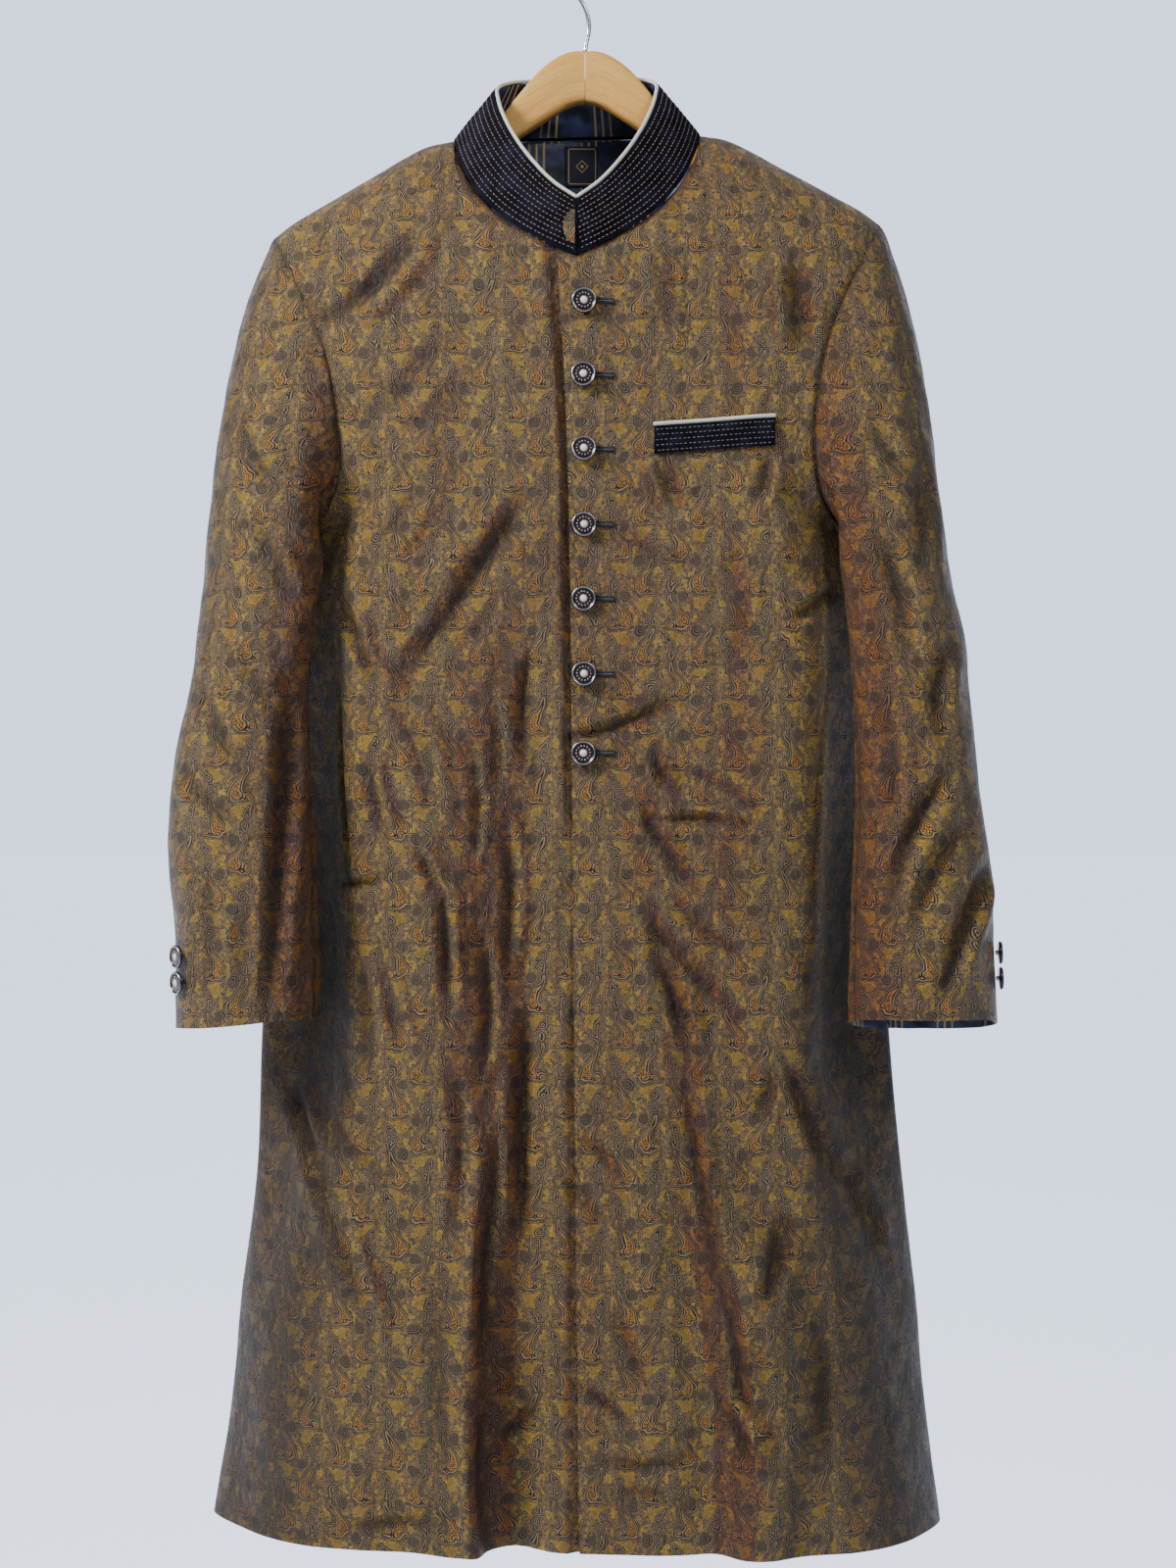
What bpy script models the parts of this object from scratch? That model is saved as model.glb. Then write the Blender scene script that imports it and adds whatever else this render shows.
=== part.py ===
"""A long sherwani coat hanging on a wooden hanger.

Metres, +Z up. The origin is the underside of the hanger hook's crown, where a rail or a peg
carries it. The coat's front faces -Y. Widths in the tables run out from the coat's centre line,
which hangs a few millimetres beside the hook. In the tables "left" is towards -X and "right"
towards +X, as somebody facing the coat has them; the panels are named for the wearer's sides.
"""

import math

import bmesh
import bpy
import numpy as np
from mathutils import Vector
from mathutils.bvhtree import BVHTree

for old in list(bpy.data.objects):
    bpy.data.objects.remove(old, do_unlink=True)

# ---------------------------------------------------------------- driving dimensions
CENTRE_X = -0.0065  # the coat's centre line, beside the hook
WALL = 0.0020  # brocade and its lining together
SEAM = 0.0002  # each panel stops this short of its seam
HEM_Z = -1.267
HEM_TILT = -0.012  # the hem hangs a little lower on the right
PATCH_Z = -0.520  # below this the body is a ring of sections, above it flat-cut yokes
SIDE_SHARE = 0.10  # share of the upper side edge that lies below the underarm point
NECK_SHARE = 0.42  # share of the half front's width that ends on the neck seam
HANG_TILT = 0.022  # the right shoulder hangs a little higher than the left

OVERLAP_TOP_X = -0.0115  # the overlapping front's edge, at the neck and at the hem
OVERLAP_HEM_X = 0.0020
UNDERLAP_X = 0.028  # how far the lower front runs on beneath it
UNDERLAP_DROP = 0.0026

COLLAR_WALL = 0.0028
COLLAR_LINING_WALL = 0.0010
SKIN_GAP = 0.0004
PIPING_RADIUS = 0.0015
COLLAR_SLIT_X = 0.0

BUTTON_RADIUS = 0.0098
BUTTON_FIRST_Z = -0.3005
BUTTON_STEPS = (0.0570, 0.0575, 0.0582, 0.0571, 0.0586, 0.0612)
BUTTON_X = 0.0055  # out from the centre line
LOOP_LENGTH = 0.0150
LOOP_HEIGHT = 0.0042
LOOP_THICKNESS = 0.0012
CUFF_BUTTON_RADIUS = 0.0090
CUFF_BUTTON_STEPS = (0.052, 0.033)  # up from the cuff's edge

POCKET_INNER_X = 0.0600
POCKET_OUTER_X = 0.1540
POCKET_TOP_Z = -0.3945
POCKET_HEIGHT = 0.0240
POCKET_RISE = 0.0073  # the welt climbs this much towards the armhole

HOOK_RADIUS = 0.0195  # centre line of the wire's bend
WIRE_RADIUS = 0.0018


# ---------------------------------------------------------------- tables and smooth curves
def table(names, *rows):
    return {name: np.array([row[i] for row in rows]) for i, name in enumerate(names.split())}


def slopes(knots, values):
    step = np.diff(knots)
    rise = np.diff(values, axis=-1) / step
    inner = (rise[..., 1:] * step[:-1] + rise[..., :-1] * step[1:]) / (step[1:] + step[:-1])
    return np.concatenate([rise[..., :1], inner, rise[..., -1:]], axis=-1)


def smooth(knots, values, at):
    """Values given at the knots along their last axis, read smoothly at other places."""
    knots = np.asarray(knots, float)
    values = np.asarray(values, float)
    at = np.asarray(at, float)
    m = slopes(knots, values)
    i = np.clip(np.searchsorted(knots, at, side="right") - 1, 0, len(knots) - 2)
    h = knots[i + 1] - knots[i]
    t = (at - knots[i]) / h
    low = (2 * t**3 - 3 * t**2 + 1) * values[..., i] + (t**3 - 2 * t**2 + t) * h * m[..., i]
    high = (3 * t**2 - 2 * t**3) * values[..., i + 1] + (t**3 - t**2) * h * m[..., i + 1]
    return low + high


def smoothstep(a, b, x):
    t = np.clip((np.asarray(x, float) - a) / (b - a), 0, 1)
    return t * t * (3 - 2 * t)


def along(points, at):
    """Points on the smooth curve through the given points, by share of its length."""
    points = np.asarray(points, float)
    chord = np.concatenate([[0], np.cumsum(np.linalg.norm(np.diff(points, axis=0), axis=1))])
    fine = np.linspace(0, chord[-1], 400)
    dense = smooth(chord, points.T, fine).T
    run = np.concatenate([[0], np.cumsum(np.linalg.norm(np.diff(dense, axis=0), axis=1))])
    where = np.interp(np.asarray(at, float) * run[-1], run, fine)
    return smooth(chord, points.T, where).T


# ---------------------------------------------------------------- the coat's sections
# Half sections from centre front (share 0) by the side seam (1) to centre back (2).
SECTION_SHARES = np.array([0.0, 0.36, 0.66, 0.84, 1.0, 1.16, 1.50, 2.0])
BODY_FRONT = table(
    "z front_y mid_x mid_y turn_x turn_y tuck_x tuck_y",
    (-0.478, -0.055, 0.095, -0.056, 0.168, -0.051, 0.202, -0.026),
    (-0.560, -0.056, 0.100, -0.057, 0.172, -0.052, 0.202, -0.022),
    (-0.660, -0.056, 0.100, -0.057, 0.174, -0.052, 0.204, -0.017),
    (-0.760, -0.056, 0.100, -0.057, 0.177, -0.049, 0.208, -0.009),
    (-0.868, -0.057, 0.102, -0.058, 0.180, -0.047, 0.214, -0.007),
    (-1.012, -0.060, 0.108, -0.060, 0.194, -0.049, 0.235, -0.017),
    (-1.087, -0.061, 0.112, -0.061, 0.204, -0.050, 0.246, -0.023),
    (-1.160, -0.062, 0.116, -0.062, 0.210, -0.050, 0.252, -0.024),
    (-1.267, -0.064, 0.120, -0.064, 0.218, -0.052, 0.262, -0.024),
)
BODY_REAR = table(
    "z left_x right_x side_y heel_x heel_y blade_y back_y right_in",
    (-0.478, 0.226, 0.226, 0.004, 0.205, 0.031, 0.037, 0.038, 0.004),
    (-0.560, 0.238, 0.238, 0.012, 0.212, 0.036, 0.040, 0.040, 0.008),
    (-0.660, 0.244, 0.244, 0.017, 0.216, 0.039, 0.042, 0.041, 0.008),
    (-0.760, 0.250, 0.249, 0.018, 0.220, 0.040, 0.043, 0.042, 0.006),
    (-0.868, 0.2576, 0.2551, 0.016, 0.226, 0.040, 0.043, 0.042, 0.002),
    (-1.012, 0.2630, 0.2675, 0.014, 0.234, 0.040, 0.043, 0.042, 0.000),
    (-1.087, 0.2725, 0.2755, 0.014, 0.240, 0.040, 0.043, 0.042, 0.000),
    (-1.160, 0.2790, 0.2815, 0.014, 0.246, 0.040, 0.043, 0.042, 0.000),
    (-1.267, 0.2955, 0.2950, 0.014, 0.256, 0.040, 0.043, 0.042, 0.008),
)
BODY = {**BODY_FRONT, **BODY_REAR}
BLADE_X = 0.118

# The neck seam, half of it, centre front to neck point to centre back.
NECK_FRONT = table(
    "x y z",
    (0.0000, -0.0580, -0.2655),
    (0.0200, -0.0560, -0.2560),
    (0.0414, -0.0520, -0.2435),
    (0.0622, -0.0465, -0.2275),
    (0.0785, -0.0395, -0.2085),
    (0.0900, -0.0280, -0.1870),
    (0.0968, -0.0130, -0.1670),
    (0.0990, 0.0020, -0.1515),
)
NECK_BACK = table(
    "x y z",
    (0.0990, 0.0020, -0.1515),
    (0.0860, 0.0220, -0.1460),
    (0.0540, 0.0345, -0.1435),
    (0.0240, 0.0380, -0.1428),
    (0.0000, 0.0385, -0.1426),
)
COLLAR_TOP = table(
    "x y z",
    (0.0000, -0.0620, -0.2230),
    (0.0180, -0.0595, -0.2100),
    (0.0365, -0.0540, -0.1895),
    (0.0490, -0.0455, -0.1700),
    (0.0585, -0.0350, -0.1500),
    (0.0650, -0.0190, -0.1280),
    (0.0660, -0.0030, -0.1130),
    (0.0560, 0.0130, -0.1035),
    (0.0350, 0.0240, -0.0990),
    (0.0000, 0.0285, -0.0975),
)
SHOULDER = table(
    "x z",
    (0.0990, -0.1515),
    (0.1200, -0.1555),
    (0.1400, -0.1650),
    (0.1600, -0.1765),
    (0.1850, -0.1905),
    (0.2100, -0.2045),
    (0.2300, -0.2160),
    (0.2450, -0.2275),
)
SHOULDER_Y = 0.0020
ARMHOLE_FRONT = table(
    "x y z",
    (0.2260, 0.0040, -0.4780),
    (0.2080, -0.0200, -0.4690),
    (0.1930, -0.0370, -0.4500),
    (0.1860, -0.0455, -0.4180),
    (0.1880, -0.0480, -0.3720),
    (0.1965, -0.0455, -0.3300),
    (0.2160, -0.0370, -0.2830),
    (0.2290, -0.0270, -0.2580),
    (0.2380, -0.0150, -0.2388),
    (0.2450, 0.0020, -0.2275),
)
ARMHOLE_BACK = table(
    "x y z",
    (0.2260, 0.0040, -0.4780),
    (0.2120, 0.0260, -0.4640),
    (0.2050, 0.0350, -0.4300),
    (0.2040, 0.0380, -0.3800),
    (0.2080, 0.0375, -0.3300),
    (0.2200, 0.0320, -0.2850),
    (0.2310, 0.0240, -0.2580),
    (0.2390, 0.0140, -0.2388),
    (0.2450, 0.0020, -0.2275),
)
ARMHOLE_CENTRE = np.array([0.212, -0.002, -0.352])

# The largest folds of the skirt. x is the crest at each height, left and right are the half
# widths of its two slopes, and rise is how far the crest stands out.
FOLDS = (
    table(
        "z x left right rise",
        (-1.300, -0.076, 0.034, 0.020, 0.011),
        (-1.219, -0.082, 0.034, 0.020, 0.011),
        (-1.158, -0.084, 0.034, 0.020, 0.011),
        (-1.083, -0.079, 0.032, 0.020, 0.009),
        (-0.977, -0.071, 0.030, 0.018, 0.003),
        (-0.900, -0.068, 0.030, 0.018, 0.000),
    ),
    table(
        "z x left right rise",
        (-1.300, 0.142, 0.030, 0.026, 0.011),
        (-1.219, 0.146, 0.032, 0.028, 0.011),
        (-1.165, 0.150, 0.036, 0.030, 0.012),
        (-1.093, 0.142, 0.036, 0.030, 0.012),
        (-1.053, 0.134, 0.034, 0.030, 0.012),
        (-1.009, 0.114, 0.026, 0.028, 0.010),
        (-0.953, 0.099, 0.020, 0.026, 0.007),
        (-0.869, 0.076, 0.014, 0.020, 0.003),
        (-0.820, 0.070, 0.012, 0.020, 0.000),
    ),
    table(
        "z x left right rise",
        (-1.110, -0.150, 0.014, 0.012, 0.000),
        (-1.062, -0.168, 0.014, 0.012, 0.005),
        (-0.980, -0.214, 0.014, 0.012, 0.004),
        (-0.890, -0.236, 0.014, 0.012, 0.000),
    ),
    table(
        "z x left right rise",
        (-1.200, -0.012, 0.026, 0.026, 0.000),
        (-1.050, -0.022, 0.026, 0.026, -0.003),
        (-0.800, -0.040, 0.030, 0.030, -0.003),
        (-0.650, -0.050, 0.030, 0.030, 0.000),
    ),
)
BACK_FOLDS = (
    table(
        "z x left right rise",
        (-1.300, -0.120, 0.022, 0.028, 0.008),
        (-1.050, -0.110, 0.020, 0.024, 0.005),
        (-0.850, -0.100, 0.020, 0.020, 0.000),
    ),
    table(
        "z x left right rise",
        (-1.300, 0.070, 0.030, 0.022, 0.009),
        (-1.050, 0.074, 0.024, 0.020, 0.006),
        (-0.820, 0.080, 0.020, 0.020, 0.000),
    ),
    table(
        "z x left right rise",
        (-1.300, -0.020, 0.024, 0.020, -0.006),
        (-1.060, -0.014, 0.020, 0.018, -0.003),
        (-0.900, -0.010, 0.018, 0.018, 0.000),
    ),
)


def drape(folds, x, z):
    """How far the folds lift the cloth out at a place on it."""
    rise = np.zeros_like(x)
    for fold in folds:
        at = {name: np.interp(z, fold["z"], fold[name]) for name in ("x", "left", "right")}
        lift = np.interp(z, fold["z"], fold["rise"], right=0.0)
        lift = np.where(z < fold["z"][0], fold["rise"][0], lift)
        off = x - at["x"]
        half = np.where(off < 0, at["left"], at["right"])
        rise = rise + lift * np.exp(-((off / half) ** 2))
    return rise


def section(z, side):
    """Stations of the half section at one height, with a mirrored one beyond each end."""
    heights = BODY["z"][::-1]
    at = {name: float(smooth(heights, BODY[name][::-1], z)) for name in BODY if name != "z"}
    more = at["right_in"] if side > 0 else 0.0
    width = at["right_x"] if side > 0 else at["left_x"]
    x = [0, at["mid_x"], at["turn_x"] + more, at["tuck_x"] + more, width, at["heel_x"], BLADE_X, 0]
    y = [at["front_y"], at["mid_y"], at["turn_y"], at["tuck_y"], at["side_y"], at["heel_y"]]
    y += [at["blade_y"], at["back_y"]]
    shares = np.concatenate([[-0.36], SECTION_SHARES, [2.5]])
    return shares, np.array([[-x[1]] + x + [-x[6]], [y[1]] + y + [y[6]]])


def ring(z, shares, side):
    """Points of the half section, share 0 centre front to 2 centre back; x is outward."""
    knots, stations = section(z, side)
    x, y = smooth(knots, stations, shares)
    return np.stack([x, y, np.full_like(x, z)], axis=-1)


def curve_of(rows):
    return np.stack([rows["x"], rows["y"], rows["z"]], axis=-1)


def shoulder_edge(at):
    rows = np.stack([SHOULDER["x"], np.full(len(SHOULDER["x"]), SHOULDER_Y), SHOULDER["z"]], axis=-1)
    return along(rows, at)


def top_edge(share, back):
    """The upper edge of a half yoke: the neck seam, then the shoulder seam."""
    share = np.asarray(share, float)
    neck = curve_of(NECK_BACK)[::-1] if back else curve_of(NECK_FRONT)
    on_neck = along(neck, np.clip(share / NECK_SHARE, 0, 1))
    on_shoulder = shoulder_edge(np.clip((share - NECK_SHARE) / (1 - NECK_SHARE), 0, 1))
    return np.where((share <= NECK_SHARE)[:, None], on_neck, on_shoulder)


def side_edge(t, back, side):
    """The outer edge of a half yoke: a little of the side seam, then the armhole."""
    armhole = curve_of(ARMHOLE_BACK if back else ARMHOLE_FRONT)
    if t >= SIDE_SHARE:
        return along(armhole, [(t - SIDE_SHARE) / (1 - SIDE_SHARE)])[0]
    z = PATCH_Z + (armhole[0][2] - PATCH_Z) * t / SIDE_SHARE
    return ring(z, np.array([1.0]), side)[0]


def yoke_row(t, shares, back, side):
    """One row of the half front or back above PATCH_Z: t 0 at its foot, 1 at its top edge."""
    width = 1 - shares if back else shares  # 0 on the centre line, 1 at the armhole
    foot = ring(PATCH_Z, 2 - width if back else width, side)
    top = top_edge(width, back)
    ends = ring(PATCH_Z, np.array([2.0 if back else 0.0, 1.0]), side)
    corner = top_edge(np.array([0.0, 1.0]), back)
    centre = ends[0] + (corner[0] - ends[0]) * t
    outer = side_edge(t, back, side)
    across = width[:, None]
    flat = (1 - t) * foot + t * top
    left = centre - ((1 - t) * ends[0] + t * corner[0])
    right = outer - ((1 - t) * ends[1] + t * corner[1])
    points = flat + (1 - across) * left + across * right
    # The depth goes from the centre line's to the outer edge's as the foot and the top do.
    foot_turn = (foot[:, 1] - ends[0][1]) / (ends[1][1] - ends[0][1])
    top_turn = (top[:, 1] - corner[0][1]) / (corner[1][1] - corner[0][1])
    turn = (1 - t**2) * foot_turn + t**2 * top_turn
    points[:, 1] = centre[1] + (outer[1] - centre[1]) * turn
    return points


def body_row(height, shares, back, side):
    """height 0 at the hem, 1 at PATCH_Z, 2 at the neck and shoulder edges; shares run outward."""
    if height <= 1:
        z = HEM_Z + (PATCH_Z - HEM_Z) * height
        points = ring(z, 2 - shares if back else shares, side)
        points[:, 2] += HEM_TILT * points[:, 0] * side * (1 - height) ** 2
    else:
        points = yoke_row(height - 1, 1 - shares if back else shares, back, side)
    x = points[:, 0] * side
    if back:
        points[:, 1] += drape(BACK_FOLDS, x, points[:, 2])
    else:
        points[:, 1] -= drape(FOLDS, x, points[:, 2])
    points[:, 2] += HANG_TILT * x * smoothstep(-0.50, -0.30, points[:, 2])
    points[:, 0] = x
    return points


def front_row(height, signed):
    """The whole front: negative shares on the left, positive on the right."""
    left = body_row(height, np.abs(signed), False, -1.0)
    right = body_row(height, np.abs(signed), False, 1.0)
    return np.where((signed < 0)[:, None], left, right)


# ---------------------------------------------------------------- sampling shared by pieces
ARMHOLE_STEPS = np.array([0, 0.12, 0.25, 0.37, 0.49, 0.61, 0.72, 0.82, 0.90, 0.96, 1.0])
LOWER_ROWS = np.linspace(0, 1, 16)
UPPER_ROWS = 1 + SIDE_SHARE + (1 - SIDE_SHARE) * ARMHOLE_STEPS
HEIGHTS = np.concatenate([LOWER_ROWS, UPPER_ROWS])
UNDERARM_ROW = len(LOWER_ROWS)
NECK_SHARES = np.array([0.05, 0.105, 0.16, 0.22, 0.28, 0.33, 0.375, NECK_SHARE])
SHOULDER_SHARES = np.array([0.52, 0.61, 0.69, 0.77, 0.85, 0.93, 1.0])
HALF_SHARES = np.concatenate([NECK_SHARES, SHOULDER_SHARES])
BACK_SHARES = np.array([0, 0.13, 0.23, 0.31, 0.37, NECK_SHARE, 0.56, 0.70, 0.85, 1.0])

coat = bpy.data.collections.new("sherwani_coat_on_a_hanger")
bpy.context.scene.collection.children.link(coat)


def material(name, colour, roughness, metallic=0.0):
    m = bpy.data.materials.new(name)
    m.use_nodes = True
    shader = m.node_tree.nodes["Principled BSDF"]
    shader.inputs["Base Color"].default_value = (*colour, 1.0)
    shader.inputs["Roughness"].default_value = roughness
    shader.inputs["Metallic"].default_value = metallic
    return m


BROCADE = material("brocade", (0.20, 0.13, 0.06), 0.55)
BROCADE_BACK = material("brocade_back", (0.19, 0.13, 0.07), 0.55)
BROCADE_SLEEVE = material("brocade_sleeve", (0.21, 0.14, 0.07), 0.55)
VELVET = material("velvet", (0.008, 0.008, 0.018), 0.9)
LINING = material("striped_lining", (0.02, 0.022, 0.05), 0.35)
PIPING = material("piping", (0.80, 0.78, 0.62), 0.4)
LABEL = material("neck_label", (0.02, 0.02, 0.045), 0.6)
BUTTON = material("button", (0.03, 0.025, 0.03), 0.25, 0.6)
LOOP = material("bound_buttonhole", (0.012, 0.014, 0.03), 0.7)
WOOD = material("pale_wood", (0.72, 0.50, 0.22), 0.45)
WIRE = material("hook_wire", (0.62, 0.62, 0.64), 0.3, 1.0)


def put(name, mesh_or_curve, paint):
    obj = bpy.data.objects.new(name, mesh_or_curve)
    obj.data.materials.append(paint)
    coat.objects.link(obj)
    return obj


def normals_of(grid, outward):
    """Unit normals of a grid of points, turned so that they point the way of outward."""
    down = np.gradient(grid, axis=0)
    over = np.gradient(grid, axis=1)
    n = np.cross(down, over)
    n /= np.maximum(np.linalg.norm(n, axis=2, keepdims=True), 1e-12)
    sign = np.sign((n * outward).sum(axis=2, keepdims=True).sum())
    return n * sign


def shell(name, outer, inner, paint):
    """A closed thin wall between two like grids of points, with a rim all round."""
    rows, cols = outer.shape[:2]
    mesh = bmesh.new()
    a = [[mesh.verts.new(p) for p in row] for row in outer]
    b = [[mesh.verts.new(p) for p in row] for row in inner]
    for i in range(rows - 1):
        for j in range(cols - 1):
            mesh.faces.new((a[i][j], a[i][j + 1], a[i + 1][j + 1], a[i + 1][j]))
            mesh.faces.new((b[i][j], b[i + 1][j], b[i + 1][j + 1], b[i][j + 1]))
    for i in range(rows - 1):
        mesh.faces.new((a[i][0], a[i + 1][0], b[i + 1][0], b[i][0]))
        mesh.faces.new((a[i + 1][-1], a[i][-1], b[i][-1], b[i + 1][-1]))
    for j in range(cols - 1):
        mesh.faces.new((a[0][j + 1], a[0][j], b[0][j], b[0][j + 1]))
        mesh.faces.new((a[-1][j], a[-1][j + 1], b[-1][j + 1], b[-1][j]))
    bmesh.ops.recalc_face_normals(mesh, faces=mesh.faces)
    data = bpy.data.meshes.new(name)
    mesh.to_mesh(data)
    mesh.free()
    data.shade_smooth()
    data.set_sharp_from_angle(angle=math.radians(50))
    return put(name, data, paint)


def shorten(grid, edge, gap=SEAM):
    """Draws one edge of a grid back from its seam: edge is "left", "right", "first" or "last"."""
    pick = {"left": (slice(None), 0, 1), "right": (slice(None), -1, -2)}
    if edge in pick:
        rows, end, inside = pick[edge]
        step = grid[rows, inside] - grid[rows, end]
        step /= np.linalg.norm(step, axis=-1, keepdims=True)
        grid[rows, end] += gap * step
    else:
        end, inside = (0, 1) if edge == "first" else (-1, -2)
        step = grid[inside] - grid[end]
        step /= np.linalg.norm(step, axis=-1, keepdims=True)
        grid[end] += gap * step


def unit(v):
    return v / np.linalg.norm(v, axis=-1, keepdims=True)


def world(grid):
    return grid + np.array([CENTRE_X, 0.0, 0.0])


def armhole_inward(points, side):
    """At the armhole every wall is mitred towards the middle of the armhole."""
    centre = ARMHOLE_CENTRE * np.array([side, 1.0, 1.0])
    return unit(centre - points)


def mitre_body(grid, inward, column, side):
    """Walls meet on the side seam facing in, and on the armhole facing its middle."""
    inward[:UNDERARM_ROW, column] = np.array([-side, 0.0, 0.0])
    inward[UNDERARM_ROW:, column] = armhole_inward(grid[UNDERARM_ROW:, column], side)


def mitre_shoulder(grid, inward, columns):
    for j in columns:
        inward[-1, j] = np.array([0.0, 0.0, -1.0])


# ---------------------------------------------------------------- fronts
def overlap_share(height):
    """Where the overlapping front's edge lies, as a signed share."""
    x = OVERLAP_HEM_X + (OVERLAP_TOP_X - OVERLAP_HEM_X) * height / 2
    return x / 0.28


def front_left_grid():
    rows = []
    for height in HEIGHTS:
        edge = overlap_share(height)
        facing = [edge, max(0.0, edge + 0.012)]
        rows.append(front_row(height, np.concatenate([facing, HALF_SHARES])))
    return np.array(rows)


def front_right_grid():
    rows = []
    inner = np.array([-0.06, 0.0, UNDERLAP_X / 0.28])
    for height in HEIGHTS:
        signed = np.concatenate([-HALF_SHARES[::-1], inner])
        signed[-3] = overlap_share(height) - 0.045
        signed[-2] = overlap_share(height) - 0.008
        points = front_row(height, signed)
        points[-2:, 1] += UNDERLAP_DROP
        rows.append(points)
    return np.array(rows)


def make_front(name, grid, side_column, side, shoulder_columns, paint):
    inward = normals_of(grid, np.array([0.0, 1.0, 0.0]))
    mitre_shoulder(grid, inward, shoulder_columns)
    mitre_body(grid, inward, side_column, side)
    inner = grid + WALL * inward
    shift = grid.copy()
    shorten(grid, "left" if side_column == 0 else "right")
    shorten(grid, "last")
    return shell(name, world(grid), world(inner + grid - shift), paint)


left_grid = front_left_grid()
front_left = make_front("front_left", left_grid, -1, 1.0, range(9, 17), BROCADE)
right_grid = front_right_grid()
front_right = make_front("front_right", right_grid, 0, -1.0, range(0, 8), BROCADE)


# ---------------------------------------------------------------- back
def back_grid():
    rows = []
    for height in HEIGHTS:
        left = body_row(height, BACK_SHARES[::-1], True, -1.0)
        right = body_row(height, BACK_SHARES, True, 1.0)
        rows.append(np.concatenate([left, right[1:]]))
    return np.array(rows)


def make_back():
    grid = back_grid()
    inward = normals_of(grid, np.array([0.0, -1.0, 0.0]))
    count = len(BACK_SHARES)
    neck = np.flatnonzero(BACK_SHARES >= NECK_SHARE)
    mitre_shoulder(grid, inward, [count - 1 + j for j in neck])
    mitre_shoulder(grid, inward, [count - 1 - j for j in neck])
    mitre_body(grid, inward, -1, 1.0)
    mitre_body(grid, inward, 0, -1.0)
    inner = grid + WALL * inward
    shift = grid.copy()
    for edge in ("left", "right", "last"):
        shorten(grid, edge)
    return shell("back", world(grid), world(inner + grid - shift), BROCADE_BACK)


back = make_back()

# ---------------------------------------------------------------- sleeves
# Each ring of a sleeve by its four outermost places; x runs out from the coat's centre line.
RING_Z = -0.514
SLEEVE_LEFT = table(
    "z inner_x inner_y front_x front_y outer_x outer_y back_x back_y hollow",
    (-0.514, 0.1975, -0.046, 0.236, -0.072, 0.2960, -0.018, 0.266, 0.034, 2.7),
    (-0.560, 0.2045, -0.050, 0.244, -0.078, 0.2998, -0.026, 0.272, 0.024, 2.4),
    (-0.600, 0.2075, -0.052, 0.250, -0.082, 0.3036, -0.034, 0.274, 0.013, 1.9),
    (-0.655, 0.2065, -0.052, 0.254, -0.086, 0.3135, -0.042, 0.272, 0.004, 1.4),
    (-0.712, 0.2025, -0.052, 0.258, -0.088, 0.3185, -0.046, 0.270, 0.000, 1.1),
    (-0.780, 0.2000, -0.052, 0.258, -0.089, 0.3125, -0.048, 0.268, -0.006, 1.1),
    (-0.853, 0.1985, -0.052, 0.256, -0.089, 0.3112, -0.048, 0.266, -0.010, 1.2),
)
SLEEVE_RIGHT = table(
    "z inner_x inner_y front_x front_y outer_x outer_y back_x back_y hollow",
    (-0.514, 0.2060, -0.046, 0.240, -0.072, 0.2975, -0.018, 0.268, 0.034, 2.7),
    (-0.560, 0.2110, -0.050, 0.248, -0.078, 0.3060, -0.026, 0.275, 0.024, 2.4),
    (-0.600, 0.2135, -0.052, 0.254, -0.082, 0.3085, -0.034, 0.278, 0.013, 1.9),
    (-0.680, 0.2175, -0.052, 0.262, -0.087, 0.3140, -0.044, 0.278, 0.002, 1.4),
    (-0.745, 0.2145, -0.052, 0.266, -0.089, 0.3230, -0.048, 0.276, -0.001, 1.1),
    (-0.800, 0.2120, -0.052, 0.266, -0.089, 0.3252, -0.048, 0.276, -0.006, 1.1),
    (-0.853, 0.2115, -0.052, 0.266, -0.089, 0.3268, -0.048, 0.276, -0.009, 1.2),
)
CUFF = table("side outer_drop back_drop", (-1.0, 0.008, 0.006), (1.0, 0.000, 0.017))


def sleeve_ring(rows, z, at):
    """Ring points at shares 0 to 1: 0 faces the side seam, 0.5 is the outer edge."""
    heights = rows["z"][::-1]
    p = {name: float(smooth(heights, rows[name][::-1], z)) for name in rows if name != "z"}
    inner = np.array([p["inner_x"], p["inner_y"]])
    front = np.array([p["front_x"], p["front_y"]])
    outer = np.array([p["outer_x"], p["outer_y"]])
    rear = np.array([p["back_x"], p["back_y"]])
    angle = np.linspace(0, math.pi / 2, 32)
    c, s = np.cos(angle), np.sin(angle)
    c2, s2 = c ** p["hollow"], s ** p["hollow"]

    def arc(x0, x1, y0, y1, cos, sin):
        return np.stack([x1 + (x0 - x1) * cos, y0 + (y1 - y0) * sin], axis=1)

    to_front = arc(inner[0], front[0], inner[1], front[1], c, s)
    to_outer = arc(outer[0], front[0], outer[1], front[1], c, s)[::-1]
    to_rear = arc(outer[0], rear[0], outer[1], rear[1], c, s)
    to_inner = arc(inner[0], rear[0], inner[1], rear[1], c2, s2)[::-1]
    half = len(to_inner) // 2
    front_branch = np.concatenate([to_inner[half:], to_front[1:], to_outer[1:]])
    back_branch = np.concatenate([to_rear, to_inner[1 : half + 1]])

    def walk(path, share):
        run = np.concatenate([[0], np.cumsum(np.linalg.norm(np.diff(path, axis=0), axis=1))])
        return np.stack([np.interp(share * run[-1], run, path[:, k]) for k in (0, 1)], axis=1)

    at = np.asarray(at, float)
    on_front = walk(front_branch, np.clip(at * 2, 0, 1))
    on_back = walk(back_branch, np.clip(at * 2 - 1, 0, 1))
    xy = np.where((at <= 0.5)[:, None], on_front, on_back)
    return np.concatenate([xy, np.full((len(xy), 1), z)], axis=1)


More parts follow.
